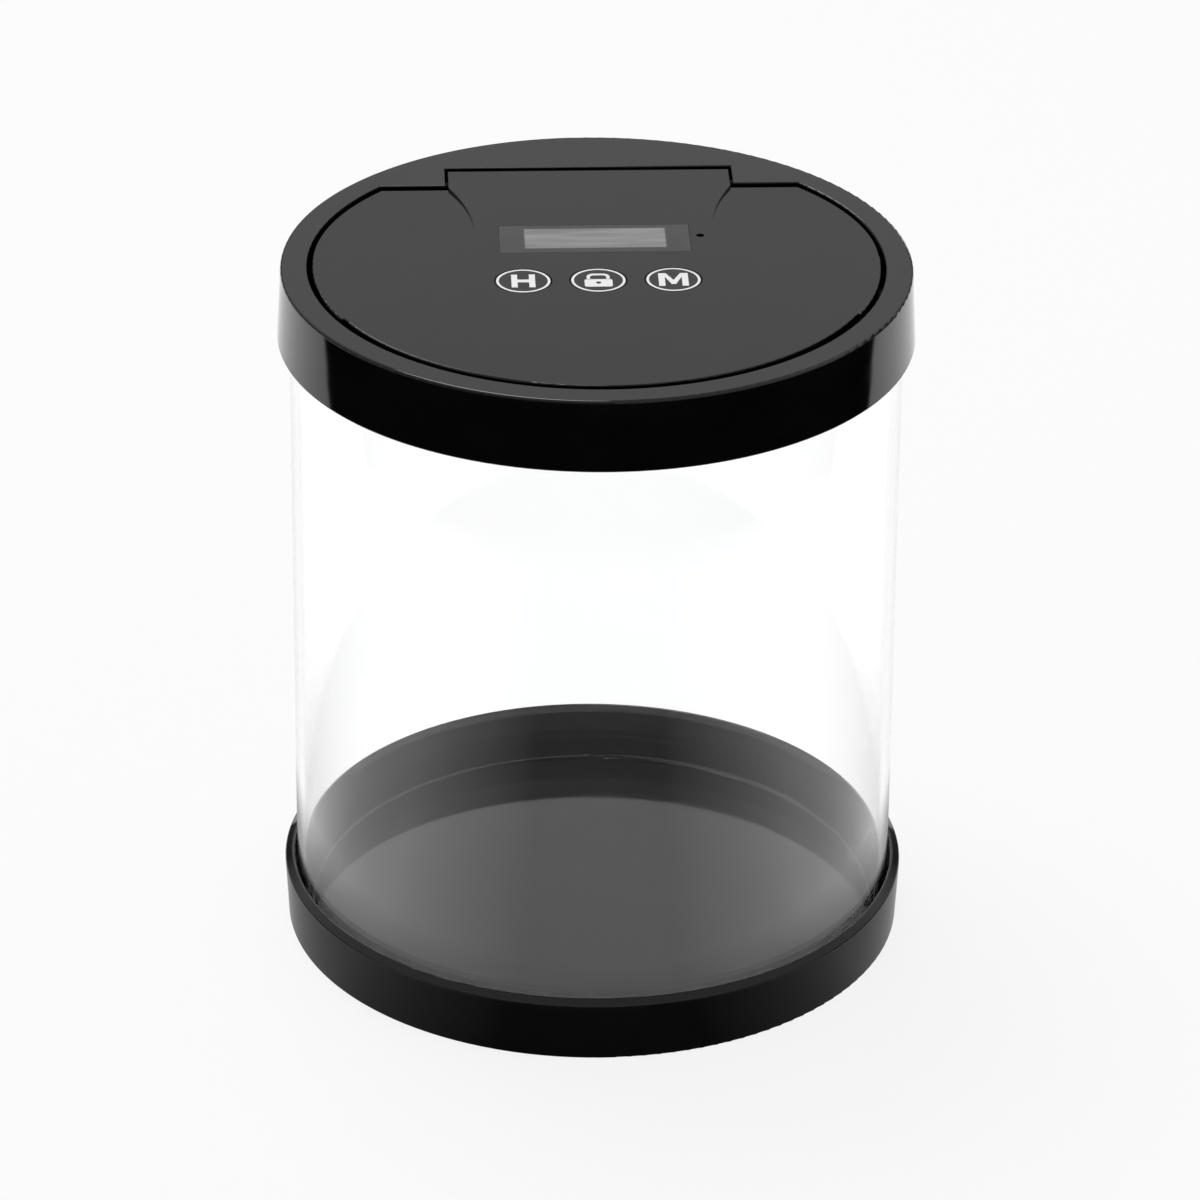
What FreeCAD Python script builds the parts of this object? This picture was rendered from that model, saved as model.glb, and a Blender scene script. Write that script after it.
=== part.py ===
"""Timed lock container: a clear tube in a black cup, under a lid ring with a hinged, locking flap.

Millimetres. The origin is the middle of the underside, +Z is up and the flap's hinge is at +Y.
The front, where the bolt comes out, is at -Y.
"""
import FreeCAD, Part
import math
import os
import Sketcher
from FreeCAD import Placement, Rotation, Vector

doc = FreeCAD.newDocument("timed_lock_container")
sheet = doc.addObject("Spreadsheet::Sheet", "sizes")

# The driving dimensions, which the sheet holds.
SIZES = {
    "total_height": 180,        # height of the closed container
    "skirt_wall": 1.9,             # thickness of the ring's skirt at its top
    "lid_draft": 1.0,           # the ring's skirt is this much wider at its foot
    "lid_height": 18.2,         # height of the ring's skirt
    "lid_plate": 2.4,           # thickness of the ring's top
    "lid_edge": 0.7,            # rounding of the ring's outer top edge
    "skirt_edge": 0.4,          # rounding of the skirt's outer lower edge
    "tube_radius": 75.5,        # outer radius of the clear tube
    "tube_wall": 2.0,           # wall of the clear tube
    "tube_clearance": 0.1,      # radial play of the tube in the ring and in the cup
    "cup_wall": 3.0,               # thickness of the cup's rim
    "base_draft": 0.8,          # the cup is this much narrower at the ground
    "base_height": 15.3,        # height of the cup
    "base_floor": 1.8,          # thickness of the cup's floor
    "base_edge": 0.5,           # rounding of the cup's outer edges
    "floor_corner": 1.0,        # rounding where the cup's floor meets its step
    "foot_recess": 0.6,         # hollow under the floor, inside the standing ring
    "foot_width": 6.0,          # width of the standing ring
    "seat_height": 8.6,         # height at which the tube stands in the cup
    "seat_width": 3.2,          # width of the step that carries the tube
    "rim_width": 2.2,           # width of the outer slope of the cup's rim
    "rim_rise": 1.6,            # height that this slope gains over the rim's outer edge
    "rim_bevel": 2.0,           # depth of the inner slope from the rim's crest down to the tube
    "well_gap": 1.1,               # space between the tube and the wall of the well
    "mouth_edge": 0.3,          # rounding along the seam between ring and flap
    "well_wall": 1.6,           # wall of the well
    "ledge_width": 3.2,         # step that the closed flap lies on
    "ledge_thickness": 1.9,     # thickness of that step
    "ledge_gap": 0.3,           # space between the closed flap and the step
    "shoulder_inset": 23.2,        # the well's straight back lies this far inside its round wall
    "tab_half_width": 36.1,     # half the width of the hinge pocket
    "pocket_inset": 12.4,          # the hinge pocket's back lies this far inside the well's round wall
    "side_gap": 1.1,            # seam at the sides of the flap
    "front_gap": 1.8,           # wider seam at the front, for a fingertip
    "front_arc": 64,            # the wider seam reaches this many degrees either way from the front
    "shoulder_gap": 1.4,        # seam along the well's straight back
    "tab_gap": 0.6,             # seam at each end of the hinge tab
    "tab_back_gap": 1.4,        # seam behind the hinge tab
    "bay_headroom": 0.3,           # space between the battery bay and the flap's top
    "flap_plate": 2.2,          # thickness of the flap's top
    "flap_wall": 1.6,           # thickness of the flap's side
    "flap_draft": 0.8,          # the flap is this much narrower at its underside
    "flap_fit": 0.15,           # play between the flap's two shells
    "under_plate": 1.6,         # thickness of the flap's underside
    "pin_radius": 1.25,         # radius of the hinge pin
    "pin_depth": 3.4,           # depth of the pin's axis under the lid's top
    "pin_play": 0.05,           # running clearance of the pin in the flap
    "pin_grip": 4.0,               # length of the pin in each boss of the ring
    "boss_end": 1.2,            # material behind the pin's ends
    "boss_floor": 1.3,          # material of the boss under the pin
    "barrel_radius": 2.9,       # radius of the flap's hinge barrel
    "barrel_edge": 1.0,         # rounding of the hinge tab's back edge
    "pocket_gap": 0.4,          # space under the hinge barrel
    "rib_width": 2.0,           # thickness of the ribs that carry the barrel
    "rib_inset": 2.5,              # middle of the outer ribs, in from the ends of the hinge tab
    "wing_radius": 65.5,        # radius of the two arcs that draw in the console
    "wing_waist": 29.5,         # half the console's width where it is narrowest
    "wing_setback": 27.2,          # the waist lies this far in front of the flap's straight back
    "wing_depth": 0.7,          # depth of the wings' slope at the shoulders
    "wing_run": 41.2,              # length of the wings' slope, front to back
    "window_length": 47.0,      # display window, left to right
    "window_width": 16.0,       # display window, front to back
    "window_thickness": 1.2,    # thickness of the window
    "window_setback": 11.3,        # middle of the window, in front of the board's back edge
    "window_play": 0.1,         # play of the window in its recess
    "window_border": 2.6,       # shelf that the window is glued to
    "glass_side_lap": 0.3,         # the display glass reaches this far under the border at its sides
    "glass_lap": 2.3,              # the display glass reaches this far under the border, front and back
    "glass_thickness": 2.2,     # thickness of the display glass
    "zebra_width": 2.0,         # rubber connector strip under the glass
    "zebra_inset": 1.1,         # its distance in from the glass's edge
    "board_length": 70.0,          # circuit board, left to right
    "board_width": 43.0,        # circuit board, front to back
    "board_gap": 1.25,             # space between the board and the battery bay
    "board_thickness": 1.6,     # thickness of the board
    "board_depth": 7.2,         # depth of the board's top face under the lid's top
    "board_screw_inset": 3.1,      # distance of the board's screws in from its edges
    "board_boss_radius": 2.4,   # radius of the bosses that carry the board
    "chip_size": 9.0,           # side of the controller chip
    "chip_thickness": 1.5,      # thickness of the controller chip
    "buzzer_radius": 4.3,       # radius of the buzzer
    "buzzer_height": 3.2,       # height of the buzzer
    "buzzer_mouth": 1.0,        # depth of the buzzer's own sound opening
    "sound_inset": 2.7,            # the sound hole lies this far beside the window
    "buzzer_setback": 10.0,        # middle of the buzzer, in front of the board's back edge
    "sound_hole": 1.0,          # radius of the sound hole
    "button_radius": 6.9,       # radius of the push buttons
    "button_gap": 0.2,          # play round a button
    "button_space": 2.1,           # space between the flanges of two buttons
    "button_setback": 35.8,        # line of the buttons, in front of the board's back edge
    "button_edge": 0.2,         # rounding of a button's top edge
    "button_flange": 1.2,       # width of the flange that keeps a button in
    "flange_thickness": 1.0,    # thickness of that flange
    "flange_gap": 0.15,         # space between the flange and the lid's top plate
    "button_travel": 0.5,       # stroke of a button
    "switch_side": 6.0,         # side of a tactile switch
    "switch_height": 2.4,       # height of a tactile switch
    "plunger_radius": 1.5,      # radius of the switch's plunger
    "plunger_rise": 0.7,        # the plunger stands this far out of its switch
    "plunger_depth": 1.4,       # the plunger reaches this far into its switch
    "plunger_play": 0.1,        # play round the plunger
    "stem_radius": 2.2,         # radius of the button's stem
    "touch_gap": 0.05,          # space between stem and plunger
    "bolt_width": 12.0,         # width of the latch bolt's head
    "bolt_thickness": 2.4,      # thickness of the latch bolt
    "bolt_head": 11.0,          # length of the bolt's head
    "bolt_inset": 0.6,          # the drawn-in bolt's tip lies this far inside the flap's side
    "bolt_play": 0.3,           # play round the bolt
    "bolt_lift": 0.2,           # space under the bolt
    "bolt_travel": 5.0,         # stroke of the bolt
    "rack_width": 6.4,          # width of the bolt's toothed bar
    "rack_teeth": 6,            # number of the bolt's teeth
    "rack_lead": 1,             # number of those teeth ahead of the pinion
    "strike_play": 0.5,         # play of the bolt in the ring
    "tooth_module": 0.6,        # module of rack and pinion
    "tooth_foot": 1.25,         # depth of a tooth's foot, in modules
    "pinion_teeth": 12,         # number of the pinion's teeth
    "pressure_angle": 25,       # pressure angle of rack and pinion, degrees
    "backlash": 0.12,           # play between the teeth
    "pinion_width": 5.0,        # width of the pinion
    "pinion_setback": 19.6,        # the pinion's axis lies this far behind the bolt's tip
    "shaft_radius": 1.5,        # radius of the motor's shaft
    "shaft_flat": 0.5,          # depth of the flat on the shaft
    "shaft_reach": 3.0,         # length of the shaft inside the gearbox
    "gear_gap": 1.0,            # space between pinion and gearbox
    "gearbox_length": 9.0,      # length of the gearbox
    "motor_length": 15.0,       # length of the motor
    "motor_width": 12.0,        # width of gearbox and motor
    "motor_height": 10.0,       # height of gearbox and motor
    "motor_cap": 2.2,           # radius of the motor's end bearing
    "motor_cap_length": 1.0,    # length of the motor's end bearing
    "rail_width": 2.0,          # width of the rails and walls inside the flap
    "rail_grip": 1.0,           # length of the bar that is in its rails when the bolt is out
    "rail_start": 3.0,          # the front rails begin this far behind the bolt's tip
    "rail_lip": 0.9,            # the rails reach this far over the bolt
    "lip_thickness": 1.2,       # thickness of that lip
    "cradle_height": 6.0,       # height of the walls that hold the motor
    "cell_radius": 5.25,        # radius of a battery cell
    "cell_length": 44.5,        # length of a battery cell with its nipple
    "nipple_radius": 1.9,       # radius of the cell's nipple
    "nipple_length": 0.8,       # length of the cell's nipple
    "contact_space": 5.6,       # room for the spring contact
    "contact_sheet": 0.4,       # thickness of the contacts' sheet metal
    "contact_width": 8.0,       # width of the contacts
    "leaf_crown": 0.6,          # half the height of the leaf's touching face
    "bay_gap": 4.45,               # space between the battery bay and the flap's back
    "bay_play": 0.3,            # play round the cells
    "bay_wall": 1.2,            # wall of the battery bay
    "bay_roof": 0.8,            # roof of the battery bay
    "door_gap": 0.3,            # seam round the battery door
    "door_pin_radius": 0.5,     # radius of the door's two pivots
    "door_pin_length": 0.9,     # the pivots reach this far into the bay's ends
    "door_pin_play": 0.08,      # running clearance of the pivots
    "door_grip_count": 3,       # number of the door's finger grooves
    "door_grip_length": 14.0,   # length of a finger groove
    "door_grip_width": 0.9,     # width of a finger groove
    "door_grip_pitch": 2.0,     # distance between finger grooves
    "door_grip_depth": 0.5,     # depth of a finger groove
    "lead_radius": 0.55,        # radius of the wires inside the flap
    "lead_bend": 1.15,          # bending radius of these wires
    "lead_play": 0.15,          # play of a wire in its hole
    "lead_rise": 3.0,           # height of the battery wires over the cells' axis
    "lead_drop": 1.3,           # the motor's wires run this far under the board
    "lead_pad": 22.0,           # the wires meet the board this far from its middle
    "lead_inset": 2.2,             # the wires meet the board this far in from its edge
    "lead_lane": 0.65,             # distance of the wires' lanes from what they pass
    "screw_inset": 4.65,            # the flap's screws lie this far inside its side
    "screw_gap": 0.5,              # space between the first pair of screws and the battery bay
    "screw_step": 36,              # angle between neighbouring screws, degrees
    "screw_radius": 1.1,        # radius of the screws' shanks
    "screw_length": 9.0,        # length of the screws' shanks
    "screw_head_radius": 2.2,   # radius of the screws' heads
    "screw_head_height": 1.3,   # height of the screws' heads
    "screw_sink": 0.4,          # depth of the heads under the flap's underside
    "head_play": 0.3,           # play round the heads
    "screw_wall": 1.4,          # material round a head, and round a shank
    "drive_size": 0.7,          # width of the cross recess in a head
    "drive_depth": 0.6,         # depth of the cross recess in a head
    "drive_share": 0.6,         # reach of the cross recess, as a share of the head's radius
    "board_screw_radius": 0.9,  # radius of the board screws' shanks
    "board_screw_length": 5.0,  # length of the board screws' shanks
    "board_head_radius": 1.9,   # radius of the board screws' heads
    "board_head_height": 1.1,   # height of the board screws' heads
}

for row, (alias, number) in enumerate(SIZES.items(), start=1):
    sheet.set(f"A{row}", alias)
    sheet.set(f"B{row}", str(number))
    sheet.setAlias(f"B{row}", alias)
doc.recompute()

FINISHED = []
FLANK_SHARES = (0, 0.6, 1)  # where a tooth's flank touches the true involute, as shares of its length
FULL_ROUND = 0.49           # radius of an almost full rounding, as a share of the thickness
SWEEP_MISS = 0.01           # a wire's volume may differ from its section times its length by this share


def size(alias):
    """The named cell as an expression."""
    return f"sizes.{alias}"


def value(expression):
    """The number that an expression has now."""
    result = sheet.evalExpression(str(expression).replace("sizes.", ""))
    return float(getattr(result, "Value", result))


def plus(*terms):
    """The sum of expressions."""
    return "(" + " + ".join(f"({term})" for term in terms) + ")"


def minus(first, *terms):
    """The first expression less the others."""
    return "(" + " - ".join([f"({first})"] + [f"({term})" for term in terms]) + ")"


def past(place):
    """A little beyond a place, for a tool that cuts through a surface there."""
    return plus(place, 1)


def before(place):
    """A little short of a place, for a tool that starts outside a surface there."""
    return minus(place, 1)


def same(first, second):
    """Whether two lengths agree as well as the shapes do."""
    return abs(first - second) < 1e-3


def bind(feature, **expressions):
    for name, expression in expressions.items():
        feature.setExpression(name, str(expression))
    return feature


def place(feature, x="0", y="0", z="0"):
    for axis, expression in (("x", x), ("y", y), ("z", z)):
        feature.setExpression(f"Placement.Base.{axis}", str(expression))
    return feature


def box(name, x_range, y_range, z_range):
    """A block between two expressions along each axis."""
    block = doc.addObject("Part::Box", name)
    bind(block, Length=minus(*reversed(x_range)))
    bind(block, Width=minus(*reversed(y_range)))
    bind(block, Height=minus(*reversed(z_range)))
    return place(block, x_range[0], y_range[0], z_range[0])


def depth_rod(name, radius, y_range, x, z):
    """A cylinder that lies front to back."""
    cylinder = doc.addObject("Part::Cylinder", name)
    cylinder.Placement = Placement(Vector(0, 0, 0), Rotation(Vector(-1, 0, 0), 90))
    bind(cylinder, Radius=radius, Height=minus(*reversed(y_range)))
    return place(cylinder, x, y_range[0], z)


def mirrored_box(name, half_width, y_range, z_range):
    """A block that is symmetric left to right."""
    return box(name, (minus(0, half_width), half_width), y_range, z_range)


def rod(name, radius, z_range, x="0", y="0"):
    """An upright cylinder."""
    cylinder = doc.addObject("Part::Cylinder", name)
    bind(cylinder, Radius=radius, Height=minus(*reversed(z_range)))
    return place(cylinder, x, y, z_range[0])


def cross_rod(name, radius, x_range, y, z):
    """A cylinder that lies left to right."""
    cylinder = doc.addObject("Part::Cylinder", name)
    cylinder.Placement = Placement(Vector(0, 0, 0), Rotation(Vector(0, 1, 0), 90))
    bind(cylinder, Radius=radius, Height=minus(*reversed(x_range)))
    return place(cylinder, x_range[0], y, z)


def tapered_rod(name, foot_radius, top_radius, z_range):
    cone = doc.addObject("Part::Cone", name)
    bind(cone, Radius1=foot_radius, Radius2=top_radius, Height=minus(*reversed(z_range)))
    return place(cone, z=z_range[0])


def fuse(name, *parts):
    joined = doc.addObject("Part::MultiFuse", name)
    joined.Shapes = list(parts)
    return joined


def cut(name, base, *tools):
    tool = tools[0] if len(tools) == 1 else fuse(f"{name}_tools", *tools)
    result = doc.addObject("Part::Cut", name)
    result.Base = base
    result.Tool = tool
    return result


def group(name, parts):
    """Separate solids of one kind as one sub-part."""
    together = doc.addObject("Part::Compound", name)
    together.Links = list(parts)
    return together


def finish(feature, label):
    feature.Label = label
    FINISHED.append(feature)
    return feature


def new_body(label):
    return doc.addObject("PartDesign::Body", label)


def origin_plane(body, role):
    return next(item for item in body.Origin.OriginFeatures if item.Role == role)


def new_sketch(body, name, role, offset="0"):
    sketch = body.newObject("Sketcher::SketchObject", name)
    sketch.AttachmentSupport = (origin_plane(body, role), [""])
    sketch.MapMode = "FlatFace"
    sketch.setExpression("AttachmentOffset.Base.z", str(offset))
    return sketch


def hold_point(sketch, geometry, point, across, up):
    """Ties one point of a sketch to its two distances from the origin."""
    for kind, expression in (("DistanceX", across), ("DistanceY", up)):
        number = sketch.addConstraint(Sketcher.Constraint(kind, -1, 1, geometry, point, value(expression)))
        sketch.setExpression(f"Constraints[{number}]", str(expression))


def outline(sketch, corners):
    """A closed outline of straight lines through corners given as pairs of expressions."""
    points = [Vector(value(across), value(up), 0) for across, up in corners]
    last = len(points) - 1
    for index, point in enumerate(points):
        following = points[0 if index == last else index + 1]
        sketch.addGeometry(Part.LineSegment(point, following))
    for index, (across, up) in enumerate(corners):
        before = last if index == 0 else index - 1
        sketch.addConstraint(Sketcher.Constraint("Coincident", before, 2, index, 1))
        hold_point(sketch, index, 1, across, up)
    return sketch


def circle(sketch, radius, across="0", up="0"):
    """A circle whose centre and radius are expressions."""
    centre = Vector(value(across), value(up), 0)
    number = sketch.addGeometry(Part.Circle(centre, Vector(0, 0, 1), value(radius)))
    ruling = sketch.addConstraint(Sketcher.Constraint("Radius", number, value(radius)))
    sketch.setExpression(f"Constraints[{ruling}]", str(radius))
    hold_point(sketch, number, 3, across, up)
    return sketch


def rectangle(sketch, length, width, across="0", up="0"):
    """A rectangle about a centre."""
    left = minus(across, f"({length}) / 2")
    right = plus(across, f"({length}) / 2")
    front = minus(up, f"({width}) / 2")
    back = plus(up, f"({width}) / 2")
    return outline(sketch, [(left, front), (right, front), (right, back), (left, back)])


def pad(body, name, sketch, length):
    feature = body.newObject("PartDesign::Pad", name)
    feature.Profile = sketch
    return bind(feature, Length=length)


def turned(body, name, corners):
    """A solid of revolution about Z from corners given as (radius, height)."""
    sketch = outline(new_sketch(body, f"{name}_profile", "XZ_Plane"), corners)
    feature = body.newObject("PartDesign::Revolution", name)
    feature.Profile = sketch
    feature.ReferenceAxis = (sketch, ["V_Axis"])
    feature.Angle = 360
    return feature


def round_edges(name, base, picks):
    """A fillet on the edges that picks gives as {edge number: radius expression}."""
    rounded = doc.addObject("Part::Fillet", name)
    rounded.Base = base
    rounded.Edges = [(number, value(radius), value(radius)) for number, radius in sorted(picks.items())]
    return rounded


def edge_number(shape, edge):
    return next(index for index, item in enumerate(shape.Edges, start=1) if item.isSame(edge))


def face_at(shape, height):
    """The largest flat face that looks up at the given height."""
    level = [face for face in shape.Faces
             if same(face.BoundBox.ZMin, height) and same(face.BoundBox.ZMax, height)]
    return max(level, key=lambda face: face.Area)


# Heights and lines that several pieces share.

FLAP_HEIGHT = plus(size("flap_plate"), size("bay_headroom"), size("bay_roof"),
                   f"2 * {plus(size('cell_radius'), size('bay_play'))}", size("under_plate"))
TOP = size("total_height")
PLATE_UNDERSIDE = minus(TOP, size("lid_plate"))
SKIRT_FOOT = minus(TOP, size("lid_height"))
FLAP_FOOT = minus(TOP, FLAP_HEIGHT)
FLAP_CEILING = minus(TOP, size("flap_plate"))
UNDER_TOP = plus(FLAP_FOOT, size("under_plate"))
LEDGE_TOP = minus(FLAP_FOOT, size("ledge_gap"))
LEDGE_FOOT = minus(LEDGE_TOP, size("ledge_thickness"))

TUBE_BORE = minus(size("tube_radius"), size("tube_wall"))
TUBE_SEAT = plus(size("tube_radius"), size("tube_clearance"))
LID_RADIUS = plus(TUBE_SEAT, size("skirt_wall"))
BASE_RADIUS = plus(TUBE_SEAT, size("cup_wall"))
MOUTH_RADIUS = minus(TUBE_BORE, size("well_gap"), size("well_wall"))
SHOULDER_LINE = minus(MOUTH_RADIUS, size("shoulder_inset"))
POCKET_BACK = minus(MOUTH_RADIUS, size("pocket_inset"))

FLAP_RADIUS = minus(MOUTH_RADIUS, size("side_gap"))
FRONT_RADIUS = minus(MOUTH_RADIUS, size("front_gap"))
FLAP_BACK = minus(SHOULDER_LINE, size("shoulder_gap"))
CAVITY_RADIUS = minus(FRONT_RADIUS, size("flap_wall"))
CAVITY_BACK = minus(FLAP_BACK, size("flap_wall"))
BASE_PLATE_RADIUS = minus(CAVITY_RADIUS, size("flap_draft"), size("flap_fit"))

TAB_HALF = minus(size("tab_half_width"), size("tab_gap"))
TAB_BACK = minus(POCKET_BACK, size("tab_back_gap"))
RIB_SPACING = f"({minus(TAB_HALF, size('rib_inset'))} / 1.5)"
PIN_LINE = minus(TAB_BACK, size("barrel_radius"))
PIN_HEIGHT = minus(TOP, size("pin_depth"))
BARREL_FOOT = minus(PIN_HEIGHT, size("barrel_radius"))
POCKET_FLOOR = minus(BARREL_FOOT, size("pocket_gap"))

CELL_HEIGHT = plus(UNDER_TOP, size("bay_play"), size("cell_radius"))
BAY_HALF_LENGTH = f"({size('cell_length')} + {size('contact_space')} / 2 + {size('contact_sheet')} / 2)"
BAY_HALF_WIDTH = plus(size("cell_radius"), size("bay_play"))
BAY_END = plus(BAY_HALF_LENGTH, size("bay_wall"))
BAY_BACK = minus(f"sqrt({BASE_PLATE_RADIUS}^2 - {BAY_END}^2)", size("bay_gap"), size("bay_wall"))
BAY_LINE = minus(BAY_BACK, BAY_HALF_WIDTH)
BAY_FRONT = minus(BAY_LINE, BAY_HALF_WIDTH)
BAY_TOP = plus(CELL_HEIGHT, BAY_HALF_WIDTH)
DOOR_LINE = plus(BAY_FRONT, size("door_gap"), f"{size('under_plate')} / 2")
DOOR_HEIGHT = plus(FLAP_FOOT, f"{size('under_plate')} / 2")

BOARD_TOP = minus(TOP, size("board_depth"))
BOARD_FOOT = minus(BOARD_TOP, size("board_thickness"))
BOARD_BACK = minus(BAY_FRONT, size("bay_wall"), size("board_gap"))
BOARD_LINE = minus(BOARD_BACK, f"{size('board_width')} / 2")
BOARD_FRONT = minus(BOARD_BACK, size("board_width"))
WINDOW_LINE = minus(BOARD_BACK, size("window_setback"))
GLASS_LENGTH = f"({size('window_length')} - 2 * {size('window_border')} + 2 * {size('glass_side_lap')})"
GLASS_WIDTH = f"({size('window_width')} - 2 * {size('window_border')} + 2 * {size('glass_lap')})"
BUZZER_ACROSS = plus(f"{size('window_length')} / 2", size("sound_inset"))
BUZZER_LINE = minus(BOARD_BACK, size("buzzer_setback"))
BUTTON_LINE = minus(BOARD_BACK, size("button_setback"))
FLANGE_RADIUS = plus(size("button_radius"), size("button_flange"))
BUTTON_SPACING = plus(f"2 * {FLANGE_RADIUS}", size("button_space"))

BOLT_FOOT = plus(UNDER_TOP, size("bolt_lift"))
BOLT_TOP = plus(BOLT_FOOT, size("bolt_thickness"))
BOLT_HALF = f"{size('bolt_width')} / 2"
BOLT_TIP = minus(plus(size("bolt_inset"), size("flap_draft")), FRONT_RADIUS)
BOLT_HEAD_BACK = plus(BOLT_TIP, size("bolt_head"))
TOOTH_PITCH = f"({math.pi} * {size('tooth_module')})"
PITCH_RADIUS = f"({size('tooth_module')} * {size('pinion_teeth')} / 2)"
TOOTH_FOOT = f"({size('tooth_foot')} * {size('tooth_module')})"
PINION_LINE = plus(BOLT_TIP, size("pinion_setback"))
PINION_HEIGHT = plus(BOLT_TOP, TOOTH_FOOT, PITCH_RADIUS)
GEARBOX_FACE = plus(f"{size('pinion_width')} / 2", size("gear_gap"))
GEARBOX_BACK = plus(GEARBOX_FACE, size("gearbox_length"))
MOTOR_BACK = plus(GEARBOX_BACK, size("motor_length"))
MOTOR_FOOT = minus(PINION_HEIGHT, f"{size('motor_height')} / 2")
RACK_BACK = plus(PINION_LINE, f"({size('rack_teeth')} - {size('rack_lead')} - 0.5) * {TOOTH_PITCH}")
BACK_RAILS = plus(RACK_BACK, size("bolt_play"))
RAIL_LENGTH = plus(size("bolt_travel"), size("rail_grip"))
BOLT_BACK = plus(BACK_RAILS, RAIL_LENGTH)

LEAD_ACROSS = minus(BAY_HALF_LENGTH, size("lead_radius"))
LEAD_HEIGHT = plus(CELL_HEIGHT, size("lead_rise"))

HEAD_SEAT = plus(FLAP_FOOT, size("screw_sink"), size("screw_head_height"))
HEAD_HOLE = plus(size("screw_head_radius"), size("head_play"))
HEAD_BOSS = plus(HEAD_HOLE, size("screw_wall"))
SCREW_CIRCLE = minus(BASE_PLATE_RADIUS, size("screw_inset"))
FIRST_SCREW = minus(BAY_FRONT, size("bay_wall"), size("screw_gap"), HEAD_BOSS)


def well_block(name, radius, back, z_range):
    """A disc with a straight back, as the well, the flap and the ledge have it."""
    disc = rod(f"{name}_disc", radius, z_range)
    beyond = past(radius)
    behind = mirrored_box(f"{name}_behind", beyond, (back, beyond), z_range)
    return cut(name, disc, behind)


def flap_screw_places():
    """The screws of the flap's underside: three on each side, on one circle."""
    places = []
    for side in (1, -1):
        for step in range(3):
            angle = f"(asin({FIRST_SCREW} / {SCREW_CIRCLE}) - {step} * {size('screw_step')} * 1deg)"
            across = f"({side} * {SCREW_CIRCLE} * cos({angle}))"
            up = f"({SCREW_CIRCLE} * sin({angle}))"
            places.append((across, up))
    return places


def board_screw_places():
    """The circuit board's four corners."""
    across = f"({size('board_length')} / 2 - {size('board_screw_inset')})"
    up = f"({size('board_width')} / 2 - {size('board_screw_inset')})"
    corners = [(1, 1), (1, -1), (-1, 1), (-1, -1)]
    return [(f"({x} * {across})", plus(BOARD_LINE, f"{y} * {up}")) for x, y in corners]


def button_places():
    steps = {"hours": -1, "lock": 0, "minutes": 1}
    return [(name, f"({step} * {BUTTON_SPACING})") for name, step in steps.items()]


def ring_edge(shape, radius, height):
    """The number of the circular edge that has this radius and lies at this height."""
    reach = value(radius)
    level = value(height)
    for index, edge in enumerate(shape.Edges, start=1):
        bounds = edge.BoundBox
        is_level = same(bounds.ZMin, level) and same(bounds.ZMax, level)
        if is_level and same(bounds.XMax, reach) and same(bounds.XMin, -reach):
            return index
    raise ValueError(f"no edge of radius {reach} at height {level}")


def soften(body, name, previous, radius, *rings):
    """A fillet on circular edges of a body, each given by its radius and height."""
    doc.recompute()
    fillet = body.newObject("PartDesign::Fillet", name)
    fillet.Base = (previous, [f"Edge{ring_edge(previous.Shape, ring, height)}" for ring, height in rings])
    return bind(fillet, Radius=radius)


def make_base_cup():
    body = new_body("base_cup")
    foot = minus(BASE_RADIUS, size("base_draft"))
    hollow = minus(foot, size("foot_width"))
    step = minus(size("tube_radius"), size("seat_width"))
    crest = minus(BASE_RADIUS, size("rim_width"))
    crest_height = plus(size("base_height"), size("rim_rise"))
    floor_top = plus(size("foot_recess"), size("base_floor"))
    cup = turned(body, "cup", [
        ("0", size("foot_recess")),
        (hollow, size("foot_recess")),
        (hollow, "0"),
        (foot, "0"),
        (BASE_RADIUS, size("base_height")),
        (crest, crest_height),
        (TUBE_SEAT, minus(crest_height, size("rim_bevel"))),
        (TUBE_SEAT, size("seat_height")),
        (step, size("seat_height")),
        (step, floor_top),
        ("0", floor_top),
    ])
    outer = soften(body, "cup_outer_edges", cup, size("base_edge"),
                   (foot, "0"), (BASE_RADIUS, size("base_height")), (crest, crest_height))
    soften(body, "cup_floor_corner", outer, size("floor_corner"), (step, floor_top))
    return finish(body, "base_cup")


def make_clear_tube():
    body = new_body("clear_tube")
    turned(body, "tube", [
        (TUBE_BORE, size("seat_height")),
        (size("tube_radius"), size("seat_height")),
        (size("tube_radius"), PLATE_UNDERSIDE),
        (TUBE_BORE, PLATE_UNDERSIDE),
    ])
    return finish(body, "clear_tube")


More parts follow.
